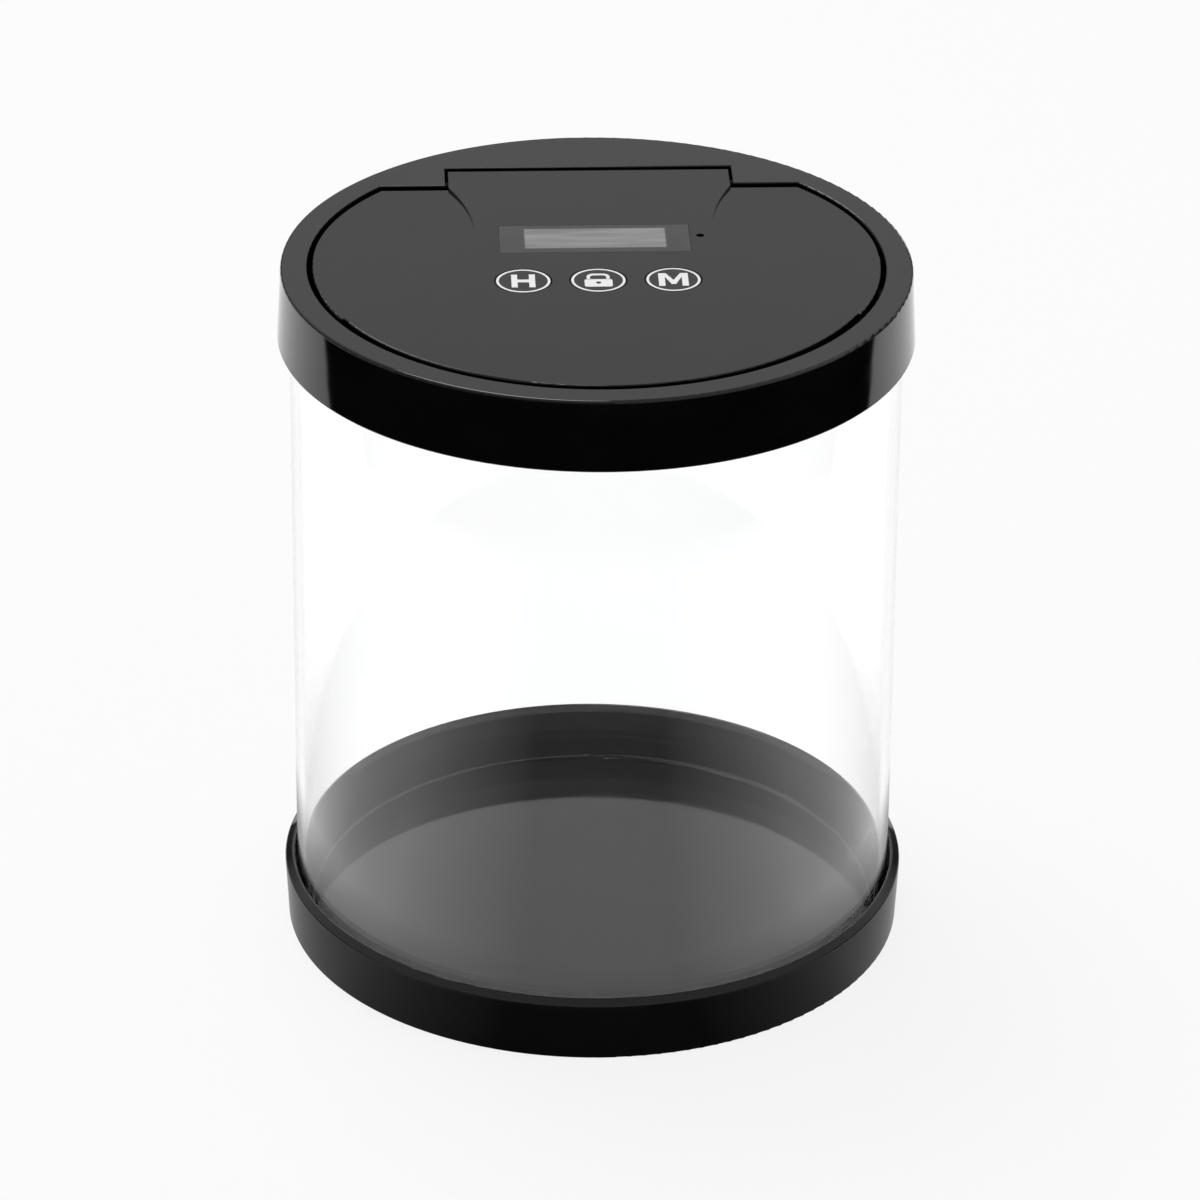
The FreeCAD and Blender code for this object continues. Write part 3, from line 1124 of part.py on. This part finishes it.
def screw(name, place_at, head, shank, head_foot, head_top, shank_top):
    """A screw that points up, with a cross recess in its head."""
    across, up = place_at
    solid = fuse(f"{name}_solid", rod(f"{name}_head", head, (head_foot, head_top), across, up),
                 rod(f"{name}_shank", shank, (head_foot, shank_top), across, up))
    half = f"{size('drive_size')} / 2"
    reach = f"({head} * {size('drive_share')})"
    z_range = (before(head_foot), plus(head_foot, size("drive_depth")))
    slot = box(f"{name}_slot", (minus(across, reach), plus(across, reach)),
               (minus(up, half), plus(up, half)), z_range)
    cross = box(f"{name}_cross", (minus(across, half), plus(across, half)),
                (minus(up, reach), plus(up, reach)), z_range)
    return cut(name, solid, slot, cross)


def make_screws():
    flap_screws = []
    for number, spot in enumerate(flap_screw_places(), start=1):
        flap_screws.append(screw(f"flap_screw_{number}", spot,
                                 size("screw_head_radius"), size("screw_radius"),
                                 minus(HEAD_SEAT, size("screw_head_height")), HEAD_SEAT,
                                 plus(HEAD_SEAT, size("screw_length"))))
    finish(group("flap_screws", flap_screws), "flap_screws")
    board_screws = []
    for number, spot in enumerate(board_screw_places(), start=1):
        board_screws.append(screw(f"board_screw_{number}", spot,
                                  size("board_head_radius"), size("board_screw_radius"),
                                  minus(BOARD_FOOT, size("board_head_height")), BOARD_FOOT,
                                  plus(BOARD_FOOT, size("board_screw_length"))))
    finish(group("board_screws", board_screws), "board_screws")


def check_all():
    """Stops if an object failed or a sub-part's shape is empty or not valid."""
    for item in doc.Objects:
        if {"Invalid", "Error"} & set(item.State):
            raise RuntimeError(f"{item.Name} failed: {item.State}")
    for feature in FINISHED:
        shape = feature.Shape
        if shape.isNull() or not shape.isValid() or not shape.Solids:
            raise RuntimeError(f"{feature.Label} has no valid shape")


make_base_cup()
make_clear_tube()
make_lid_ring()
make_hinge_pin()
make_flap_cover()
make_flap_base()
make_battery_door()
make_display()
make_circuit_board()
make_buttons()
make_latch_bolt()
make_latch_drive()
make_batteries()
make_leads()
make_screws()
doc.recompute()
check_all()

os.makedirs("parts", exist_ok=True)
for feature in FINISHED:
    feature.Shape.exportStep(f"parts/{feature.Label}.step")
    bounds = feature.Shape.BoundBox
    print(f"{feature.Label}: {len(feature.Shape.Solids)} solids, {feature.Shape.Volume:.1f} mm3, "
          f"z {bounds.ZMin:.2f} to {bounds.ZMax:.2f}")
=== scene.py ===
"""Looks, light and camera of the timed lock container. Lengths are in metres."""

import math

import bpy
from mathutils import Matrix, Vector


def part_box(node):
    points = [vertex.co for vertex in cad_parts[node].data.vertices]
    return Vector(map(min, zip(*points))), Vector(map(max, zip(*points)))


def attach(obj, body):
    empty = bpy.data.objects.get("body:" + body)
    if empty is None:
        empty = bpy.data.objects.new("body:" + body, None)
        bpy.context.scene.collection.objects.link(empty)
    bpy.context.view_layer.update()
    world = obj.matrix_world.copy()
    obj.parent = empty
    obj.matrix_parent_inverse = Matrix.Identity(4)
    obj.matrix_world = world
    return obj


# The camera stands as it did for the photograph.
LENS = 198.53
SENSOR = 36.0
DISTANCE = 1.6627
ELEVATION = math.radians(27.566)
ROLL = math.radians(0.46)
TURN = math.radians(-2.5)
AIM = Vector((0.00144, 0.0, 0.08708))
VIEW_END = 20.0

# The blank screen in the display window: its place from the window's middle, the border left
# around it, and half the width of its soft edge.
SCREEN_SHIFT = (0.00015, 0.00029)
SCREEN_BORDER = (0.0061, 0.0023)
SCREEN_EDGE = 0.00025

# The bright band on each cell: how far to the side its middle lies, and half its width.
BAND_PLACE = 0.015
BAND_HALF = 0.0033

# Worn edges: how far the wear reaches, and how much rougher it is.
PLASTIC_EDGE = 0.0004
METAL_EDGE = 0.0002
EDGE_ROUGHNESS = 0.08

# The prints on the buttons.
PRINT_DEPTH = 0.00002
RING_RADIUS = 0.0066
RING_LINE = 0.00062
RING_POINTS = 72
ARC_POINTS = 20

# The studio. What shows through the tube is as much brighter as its walls take away.
FLOOR_RADIUS = 3.0
FLOOR_POINTS = 64
FLOOR_GLOW = 0.85
FLOOR_BEHIND_TUBE = 1.2
SKY_BEHIND_TUBE = 1.03
DIFFUSE_SKY = 0.55
LAMP_RADIUS = 0.4
LAMP_PLACE = Vector((-0.3, 0.5, 1.6))
LAMP_WATTS = 12.0

# The sky as the gloss mirrors it. Heights go from nought at the horizon to one overhead.
GLOSS_SKY = 0.68
ZENITH_SKY = 0.5
ZENITH_HEIGHTS = (0.5, 1.0)
HORIZON_SHARE = 0.12
HORIZON_HEIGHTS = (0.18, 0.4)

# The floor as the gloss mirrors it, a painted reflection whose brightness is set by place. The
# base
# and the tube mirror what is near: painted shade for their shadow on the floor, dark in front and
# brighter at the sides. The lid's skirt mirrors what is farther away: a painted dark patch with
# white paper beside and behind it. A pair holds the two ends of a change, as turns from the front,
# distances from the middle or brightness.
SIDE_TURNS = (math.radians(20), math.radians(62))
BASE_SHINE = (0.05, 0.42)
TUBE_SHINE = (0.22, 1.05)
TUBE_AWAY = (0.096, 0.116)
SKIRT_AWAY = (0.33, 0.352)
DARK_PATCH_TURNS = (math.radians(101.5), math.radians(103.5))
DARK_PATCH_SLANT = 2.4
SLANT_AWAY = 0.44
DARK_PATCH_END = (0.62, 0.66)
PAPER_SHINE = 1.08

UNIT = (0.0, 1.0)


class Nodes:
    """Adds nodes to one tree and links them."""

    def __init__(self, tree):
        self.tree = tree
        self.tree.nodes.clear()

    def add(self, kind, inputs=None, **settings):
        """A new node. An input goes by its name or number, and holds a value or a link."""
        node = self.tree.nodes.new(kind)
        for name, value in settings.items():
            setattr(node, name, value)
        for key, value in (inputs or {}).items():
            if isinstance(value, bpy.types.NodeSocket):
                self.tree.links.new(value, node.inputs[key])
            else:
                node.inputs[key].default_value = value
        return node

    def part(self, vector, axis):
        return self.add("ShaderNodeSeparateXYZ", {0: vector}).outputs[axis]

    def maths(self, operation, *values):
        node = self.add("ShaderNodeMath", dict(enumerate(values)), operation=operation)
        return node.outputs[0]

    def spread(self, value, source, target=UNIT):
        """A value carried from one range to another, and kept inside it."""
        inputs = dict(enumerate((value, *source, *target)))
        return self.add("ShaderNodeMapRange", inputs).outputs["Result"]

    def blend(self, factor, first, second):
        """The first shader where the factor is nought, and the second where it is one."""
        inputs = {0: factor, 1: first, 2: second}
        return self.add("ShaderNodeMixShader", inputs).outputs["Shader"]


class Shader(Nodes):
    """The nodes of one material."""

    def __init__(self, name):
        self.material = bpy.data.materials.new(name)
        self.material.use_nodes = True
        super().__init__(self.material.node_tree)
        self.place = self.add("ShaderNodeTexCoord").outputs["Object"]

    def along(self, axis):
        return self.part(self.place, axis)

    def noise(self, scale, detail=3.0, place=None):
        inputs = {"Vector": place or self.place, "Scale": scale, "Detail": detail}
        return self.add("ShaderNodeTexNoise", inputs).outputs["Fac"]

    def streaks(self, scales, detail=2.0):
        """Noise with a scale of its own along each axis."""
        node = self.add("ShaderNodeVectorMath", {0: self.place, 1: scales}, operation="MULTIPLY")
        return self.noise(1.0, detail, node.outputs["Vector"])

    def vary(self, noise, low, high):
        """A noise carried to a range. Nearly all of it lies between 0.3 and 0.7."""
        return self.spread(noise, (0.3, 0.7), (low, high))

    def mix(self, factor, first, second):
        """The first colour where the factor is nought, and the second where it is one."""
        inputs = {0: factor, 6: first, 7: second}
        return self.add("ShaderNodeMix", inputs, data_type="RGBA").outputs[2]

    def bump(self, height, depth):
        inputs = {"Height": height, "Distance": depth}
        return self.add("ShaderNodeBump", inputs).outputs["Normal"]

    def worn_edges(self, radius):
        """One along the sharp edges and nought away from them."""
        bevel = self.add("ShaderNodeBevel", {"Radius": radius}, samples=4)
        face = self.add("ShaderNodeNewGeometry")
        normals = {0: bevel.outputs["Normal"], 1: face.outputs["Normal"]}
        turn = self.add("ShaderNodeVectorMath", normals, operation="DOT_PRODUCT")
        return self.spread(turn.outputs["Value"], (0.99, 0.8))

    def scuffs(self, across=900.0, length=14.0):
        """Fine hair scratches in patches, which run mostly one way."""
        lines = self.spread(self.streaks((across, length, across)), (0.69, 0.73))
        patches = self.spread(self.noise(35.0, 2.0), (0.45, 0.7))
        return self.maths("MULTIPLY", lines, patches)

    def surface(self, **inputs):
        """The principled surface. An input's name has an underscore for each space."""
        named = {name.replace("_", " "): value for name, value in inputs.items()}
        return self.add("ShaderNodeBsdfPrincipled", named).outputs["BSDF"]


def painted(name, look, *numbers):
    """A material whose shader is made by one of the looks below."""
    made = Shader(name)
    made.add("ShaderNodeOutputMaterial", {"Surface": look(made, *numbers)})
    return made.material


def grey(tone):
    return (tone, tone, tone, 1.0)


def moulded(made, tone, worn, roughness, grain, depth, ior=1.45):
    """Moulded plastic: even grey, faint grain, hair scratches and paler edges."""
    edges = made.worn_edges(PLASTIC_EDGE)
    tint = made.mix(made.vary(made.noise(60.0), 0.0, 0.35), grey(tone), grey(worn))
    tint = made.mix(made.maths("MULTIPLY", edges, 0.6), tint, grey(worn))
    gloss = made.vary(made.noise(140.0), roughness * 0.8, roughness * 1.2)
    gloss = made.maths("MULTIPLY_ADD", made.scuffs(), 0.12, gloss)
    gloss = made.maths("MULTIPLY_ADD", edges, EDGE_ROUGHNESS, gloss)
    relief = made.bump(made.noise(grain, 2.0), depth)
    return made.surface(Base_Color=tint, Roughness=gloss, IOR=ior, Normal=relief)


def metal(made, colour, dull, roughness):
    """Drawn or plated metal with a brushed grain and duller patches."""
    lines = made.streaks((900.0, 60.0, 900.0), 3.0)
    tint = made.mix(made.spread(made.noise(180.0), (0.35, 0.7)), colour, dull)
    gloss = made.vary(lines, roughness * 0.7, roughness * 1.4)
    gloss = made.maths("MULTIPLY_ADD", made.worn_edges(METAL_EDGE), EDGE_ROUGHNESS, gloss)
    relief = made.bump(lines, 0.000003)
    return made.surface(Base_Color=tint, Metallic=1.0, Roughness=gloss, Normal=relief)


def clear(made):
    """Clear plastic with a faint haze of hair scratches. It casts next to no shadow."""
    haze = made.spread(made.noise(50.0), (0.4, 0.8), (0.0, 0.02))
    haze = made.maths("MULTIPLY_ADD", made.scuffs(700.0, 9.0), 0.08, haze)
    tint = made.mix(made.vary(made.noise(20.0), *UNIT), grey(1.0), (0.99, 0.995, 0.995, 1.0))
    relief = made.bump(made.noise(25.0, 1.0), 0.000004)
    wall = made.surface(Base_Color=tint, Roughness=haze, IOR=1.47, Transmission_Weight=1.0,
                        Normal=relief)
    passed = made.add("ShaderNodeBsdfTransparent", {"Color": grey(0.95)}).outputs["BSDF"]
    light = made.add("ShaderNodeLightPath").outputs
    return made.blend(light["Is Shadow Ray"], wall, passed)


def window(made):
    """The display window: smoked border and the pale blank screen in its middle."""
    low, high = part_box("display_window")
    inside = 1.0
    for axis, first, last, shift, margin in zip("XY", low, high, SCREEN_SHIFT, SCREEN_BORDER):
        off = made.maths("SUBTRACT", made.along(axis), (first + last) / 2 + shift)
        reach = (last - first) / 2 - margin
        edge = (reach + SCREEN_EDGE, reach - SCREEN_EDGE)
        within = made.spread(made.maths("ABSOLUTE", off), edge)
        inside = made.maths("MULTIPLY", inside, within)
    bands = made.vary(made.streaks((45.0, 420.0, 1.0)), *UNIT)
    screen = made.mix(bands, grey(0.18), grey(0.28))
    border = made.mix(made.vary(made.noise(90.0), *UNIT), grey(0.034), grey(0.046))
    tint = made.mix(inside, border, screen)
    gloss = made.vary(made.noise(120.0), 0.1, 0.16)
    gloss = made.maths("MULTIPLY_ADD", made.scuffs(), 0.15, gloss)
    relief = made.bump(made.noise(500.0, 2.0), 0.000002)
    return made.surface(Base_Color=tint, Roughness=gloss, IOR=1.4, Normal=relief)


def board(made):
    """Green circuit board with paler tracks under the mask and a fine weave."""
    cells = made.add("ShaderNodeTexVoronoi", {"Vector": made.place, "Scale": 260.0},
                     feature="DISTANCE_TO_EDGE", distance="MANHATTAN")
    tracks = made.spread(cells.outputs["Distance"], (0.04, 0.09), (1.0, 0.0))
    weave = made.streaks((2600.0, 2600.0, 400.0), 1.0)
    base = made.mix(weave, (0.004, 0.045, 0.012, 1.0), (0.008, 0.07, 0.02, 1.0))
    tint = made.mix(tracks, base, (0.02, 0.13, 0.035, 1.0))
    gloss = made.vary(weave, 0.25, 0.4)
    relief = made.bump(made.maths("MULTIPLY_ADD", weave, 0.3, tracks), 0.00003)
    return made.surface(Base_Color=tint, Roughness=gloss, Normal=relief)


def connector(made):
    """Layered rubber strip: dark conducting leaves between grey ones."""
    inputs = {"Vector": made.place, "Scale": 900.0, "Distortion": 0.4}
    wave = made.add("ShaderNodeTexWave", inputs, bands_direction="X", wave_profile="SIN")
    leaves = wave.outputs["Fac"]
    tint = made.mix(leaves, grey(0.05), grey(0.32))
    gloss = made.vary(made.noise(300.0), 0.6, 0.85)
    relief = made.bump(leaves, 0.00002)
    return made.surface(Base_Color=tint, Roughness=gloss, Normal=relief)


def glass(made):
    """Display glass: dark and glossy, with the faint grid of its segments."""
    inputs = {"Vector": made.place, "Scale": 260.0, "Color1": (0.16, 0.18, 0.15, 1.0),
              "Color2": (0.18, 0.2, 0.165, 1.0), "Mortar": (0.13, 0.145, 0.125, 1.0)}
    grid = made.add("ShaderNodeTexBrick", inputs)
    gloss = made.vary(made.noise(150.0), 0.05, 0.12)
    relief = made.bump(made.noise(400.0), 0.000002)
    return made.surface(Base_Color=grid.outputs["Color"], Roughness=gloss, Normal=relief)


def jacket(made):
    """Cell jacket: dark foil with one bright band on each cell."""
    side = made.maths("ABSOLUTE", made.along("X"))
    off = made.maths("ABSOLUTE", made.maths("SUBTRACT", side, BAND_PLACE))
    band = made.maths("LESS_THAN", off, BAND_HALF)
    grain = made.streaks((60.0, 900.0, 900.0))
    foil = made.mix(grain, (0.012, 0.03, 0.09, 1.0), (0.02, 0.045, 0.12, 1.0))
    tint = made.mix(band, foil, (0.62, 0.6, 0.56, 1.0))
    gloss = made.vary(grain, 0.22, 0.34)
    relief = made.bump(grain, 0.000008)
    return made.surface(Base_Color=tint, Metallic=0.35, Roughness=gloss, Normal=relief)


def insulated(made):
    """Wire jacket: black at the cells' minus end, on the left, and red elsewhere."""
    side = made.maths("GREATER_THAN", made.along("X"), 0.0)
    cloud = made.noise(400.0)
    red = made.mix(cloud, (0.36, 0.012, 0.01, 1.0), (0.5, 0.03, 0.02, 1.0))
    tint = made.mix(side, grey(0.015), red)
    gloss = made.vary(cloud, 0.35, 0.5)
    relief = made.bump(made.noise(1500.0), 0.00001)
    return made.surface(Base_Color=tint, Roughness=gloss, Normal=relief)


def make_materials():
    """A material for each of the record's slots, and for what has one of its own."""
    # Tone, worn tone, roughness, the grain's scale and depth, and the index of refraction.
    polished = (420.0, 0.0000012)
    plastics = {
        "black_gloss_plastic": (0.0018, 0.006, 0.06, *polished),
        "flap_gloss_plastic": (0.0022, 0.007, 0.08, *polished, 1.4),
        "button_plastic": (0.004, 0.01, 0.12, *polished, 1.42),
        "inner_black_plastic": (0.012, 0.03, 0.42, 2600.0, 0.00001),
        "white_acetal": (0.72, 0.8, 0.34, 1200.0, 0.000006),
        "chip_black": (0.012, 0.04, 0.5, 3200.0, 0.000012),
        "white_print": (0.86, 0.92, 0.4, 2400.0, 0.000004),
    }
    # Colour, duller colour and roughness.
    metals = {
        "steel": (grey(0.55), grey(0.42), 0.24),
        # Steel painted near black for the hinge pin: painted shade for the dark gap it sits in,
        # with no glint.
        "painted_shade_steel": (grey(0.012), grey(0.008), 0.4),
        "nickel": ((0.66, 0.63, 0.58, 1.0), (0.5, 0.47, 0.43, 1.0), 0.2),
        "brass": ((0.72, 0.5, 0.2, 1.0), (0.5, 0.33, 0.12, 1.0), 0.26),
    }
    others = {
        "clear_plastic": clear,
        "window_plastic": window,
        "display_glass": glass,
        "board_green": board,
        "grey_rubber": connector,
        "cell_jacket": jacket,
        "wire_jacket": insulated,
    }
    materials = {name: painted(name, moulded, *numbers) for name, numbers in plastics.items()}
    materials |= {name: painted(name, metal, *numbers) for name, numbers in metals.items()}
    materials |= {name: painted(name, look) for name, look in others.items()}
    return materials


def dress(nodes, materials):
    """Gives each CAD node the material of its slot, or the one that it has for itself."""
    # The hinge pin takes steel painted near black, as painted shade in its gap.
    own = {"flap_cover": "flap_gloss_plastic", "hinge_pin": "painted_shade_steel"}
    for name, node in nodes.items():
        for spot in node.material_slots:
            slot = spot.material.name.split(".")[0]
            spot.material = materials[own.get(name, slot)]


def arc(centre, radius, first, last, points=ARC_POINTS):
    """Points on an arc, from one angle in degrees to another."""
    turns = [math.radians(first + (last - first) * step / points) for step in range(points + 1)]
    return [(centre[0] + radius * math.cos(turn), centre[1] + radius * math.sin(turn))
            for turn in turns]


def circle(centre, radius, points=ARC_POINTS):
    return arc(centre, radius, 0, 360, points)[:-1]


def rounded(low, high, radius):
    """A rectangle with round corners."""
    left, right = low[0] + radius, high[0] - radius
    lower, upper = low[1] + radius, high[1] - radius
    corners = {0: (right, upper), 90: (left, upper), 180: (left, lower), 270: (right, lower)}
    return [point for start, centre in corners.items()
            for point in arc(centre, radius, start, start + 90)]


def symmetric(right):
    """A whole outline from its right half, which is listed from the bottom up."""
    return right + [(-across, up) for across, up in reversed(right) if across]


def letter_h():
    half, tall, stroke, bar = 0.0029, 0.0037, 0.00148, 0.00078
    inner = half - stroke
    return symmetric([(inner, -bar), (inner, -tall), (half, -tall),
                      (half, tall), (inner, tall), (inner, bar)])


def letter_m():
    half, tall, stroke = 0.00362, 0.00365, 0.00155
    dip, tip, foot, notch = 0.0016, 0.0005225, 0.002628, 0.0003
    inner = half - stroke
    return symmetric([(tip, -foot), (inner, dip), (inner, -tall), (half, -tall),
                      (half, tall), (inner - notch, tall), (0.0, -notch)])


def padlock():
    """The body with its keyhole, and the arch that stands on it."""
    body = rounded((-0.0034, -0.0037), (0.0034, 0.0006), 0.0007)
    keyhole = circle((0.0, -0.0014), 0.00065)
    foot = 0.0004
    inner, inner_radius = (0.001, 0.0018), 0.001
    outer, outer_radius = (0.0011, 0.0021), 0.0017
    legs = [(inner[0] + inner_radius, foot), (outer[0] + outer_radius, foot)]
    arch = symmetric(arc(inner, inner_radius, 90, 0) + legs + arc(outer, outer_radius, 0, 90))
    return [body, keyhole], [arch]


def ring():
    return [circle((0.0, 0.0), radius, RING_POINTS)
            for radius in (RING_RADIUS, RING_RADIUS - RING_LINE)]


def printed(name, outlines, node, body, material):
    """A thin print on the top of a button."""
    low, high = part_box(node)
    curve = bpy.data.curves.new(name, "CURVE")
    curve.dimensions = "2D"
    curve.fill_mode = "BOTH"
    curve.extrude = PRINT_DEPTH / 2
    for points in outlines:
        spline = curve.splines.new("POLY")
        spline.points.add(len(points) - 1)
        for point, (across, up) in zip(spline.points, points):
            point.co = (across, up, 0.0, 1.0)
        spline.use_cyclic_u = True
    piece = bpy.data.objects.new(name, curve)
    piece.location = ((low[0] + high[0]) / 2, (low[1] + high[1]) / 2, high[2] + PRINT_DEPTH / 2)
    piece.data.materials.append(material)
    bpy.context.scene.collection.objects.link(piece)
    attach(piece, body)


def make_prints(material):
    lock_body, lock_arch = padlock()
    signs = {
        "hours": [("letter", [letter_h()])],
        "lock": [("lock_body", lock_body), ("lock_arch", lock_arch)],
        "minutes": [("letter", [letter_m()])],
    }
    for key, shapes in signs.items():
        for shape, outlines in [("ring", ring()), *shapes]:
            printed(f"{key}_print_{shape}", outlines, f"{key}_button", f"{key}_key", material)


def painted_floor_reflection(made):
    """The floor's painted reflection: how bright the gloss shows it at each place."""
    ahead = made.maths("MULTIPLY", made.along("Y"), -1.0)
    turn = made.maths("ABSOLUTE", made.maths("ARCTAN2", made.along("X"), ahead))
    away = made.add("ShaderNodeVectorMath", {0: made.place}, operation="LENGTH").outputs["Value"]
    by_base = made.spread(turn, SIDE_TURNS, BASE_SHINE)
    by_tube = made.spread(turn, SIDE_TURNS, TUBE_SHINE)
    # Painted shade near the base and the tube, for their shadow on the floor: dark in front,
    # brighter at the sides.
    near = made.spread(away, TUBE_AWAY, (by_base, by_tube))
    # A painted dark patch in front, which the lid's skirt mirrors, with white paper beside and
    # behind it.
    slant = made.maths("MULTIPLY", made.maths("SUBTRACT", away, SLANT_AWAY), DARK_PATCH_SLANT)
    beside = made.spread(made.maths("SUBTRACT", turn, slant), DARK_PATCH_TURNS, (0.0, PAPER_SHINE))
    behind = made.spread(away, DARK_PATCH_END, (0.0, PAPER_SHINE))
    far = made.maths("MAXIMUM", beside, behind)
    return made.spread(away, SKIRT_AWAY, (near, far))


def floor_paper(made):
    """White paper that stays near white to the camera and keeps a soft shadow."""
    tint = made.mix(made.noise(700.0), grey(0.84), grey(0.86))
    paper = made.add("ShaderNodeBsdfDiffuse", {"Color": tint}).outputs["BSDF"]
    light = made.add("ShaderNodeLightPath").outputs
    through = light["Is Transmission Ray"]
    mirrored = made.maths("MINIMUM", light["Glossy Depth"], 1.0)
    seen = made.maths("MAXIMUM", light["Is Camera Ray"], through)
    seen = made.maths("MULTIPLY", seen, made.maths("SUBTRACT", 1.0, mirrored))
    white = made.spread(through, UNIT, (1.0, FLOOR_BEHIND_TUBE))
    # The gloss sees the floor's painted reflection: painted shade near the base and a painted dark
    # patch.
    shine = made.maths("MULTIPLY", mirrored, painted_floor_reflection(made))
    strength = made.maths("MULTIPLY_ADD", seen, white, shine)
    glow = made.add("ShaderNodeEmission", {"Color": grey(1.0), "Strength": strength})
    share = made.maths("MULTIPLY_ADD", seen, FLOOR_GLOW, mirrored)
    return made.blend(share, paper, glow.outputs["Emission"])


def make_floor():
    mesh = bpy.data.meshes.new("floor")
    rim = circle((0.0, 0.0), FLOOR_RADIUS, FLOOR_POINTS)
    mesh.from_pydata([(x, y, 0.0) for x, y in rim], [], [range(len(rim))])
    mesh.materials.append(painted("floor_paper", floor_paper))
    piece = bpy.data.objects.new("floor", mesh)
    bpy.context.scene.collection.objects.link(piece)


def make_sky():
    """White to the camera, even to matt surfaces, and to gloss darker low down and overhead."""
    world = bpy.data.worlds.new("studio_sky")
    bpy.context.scene.world = world
    world.use_nodes = True
    made = Nodes(world.node_tree)

    def sky(strength):
        inputs = {"Color": grey(1.0), "Strength": strength}
        return made.add("ShaderNodeBackground", inputs).outputs["Background"]

    light = made.add("ShaderNodeLightPath").outputs
    height = made.part(made.add("ShaderNodeTexCoord").outputs["Generated"], "Z")
    overhead = made.spread(height, ZENITH_HEIGHTS, (GLOSS_SKY, ZENITH_SKY))
    low_down = made.spread(height, HORIZON_HEIGHTS, (HORIZON_SHARE, 1.0))
    gloss = sky(made.maths("MULTIPLY", overhead, low_down))
    soft = made.blend(light["Is Glossy Ray"], sky(DIFFUSE_SKY), gloss)
    direct = made.blend(light["Is Camera Ray"], soft, sky(1.0))
    whole = made.blend(light["Is Transmission Ray"], direct, sky(SKY_BEHIND_TUBE))
    made.add("ShaderNodeOutputWorld", {"Surface": whole})


def make_lamp():
    lamp = bpy.data.lights.new("overhead_lamp", "AREA")
    lamp.shape = "DISK"
    lamp.size = 2 * LAMP_RADIUS
    lamp.energy = LAMP_WATTS
    place = bpy.data.objects.new("overhead_lamp", lamp)
    place.location = LAMP_PLACE
    place.rotation_euler = (AIM - LAMP_PLACE).to_track_quat("-Z", "Y").to_euler()
    bpy.context.scene.collection.objects.link(place)


def make_camera():
    camera = bpy.data.cameras.new("camera")
    camera.lens = LENS
    camera.sensor_width = SENSOR
    camera.clip_end = VIEW_END
    back = Vector((0.0, -math.cos(ELEVATION), math.sin(ELEVATION)))
    place = bpy.data.objects.new("camera", camera)
    place.matrix_world = (Matrix.Rotation(TURN, 4, "Z") @ Matrix.Translation(AIM + back * DISTANCE)
                          @ back.to_track_quat("Z", "Y").to_matrix().to_4x4()
                          @ Matrix.Rotation(ROLL, 4, "Z"))
    bpy.context.scene.collection.objects.link(place)
    bpy.context.scene.camera = place


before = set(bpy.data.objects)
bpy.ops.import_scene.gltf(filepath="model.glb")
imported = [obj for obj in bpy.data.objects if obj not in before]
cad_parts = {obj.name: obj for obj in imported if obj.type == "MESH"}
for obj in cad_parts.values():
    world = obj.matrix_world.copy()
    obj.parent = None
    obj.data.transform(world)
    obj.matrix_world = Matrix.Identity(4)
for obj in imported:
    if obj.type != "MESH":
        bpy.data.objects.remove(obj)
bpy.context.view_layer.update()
bpy.context.scene.view_settings.view_transform = "Standard"
make_camera()
make_sky()
make_lamp()
make_floor()
palette = make_materials()
dress(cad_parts, palette)
make_prints(palette["white_print"])
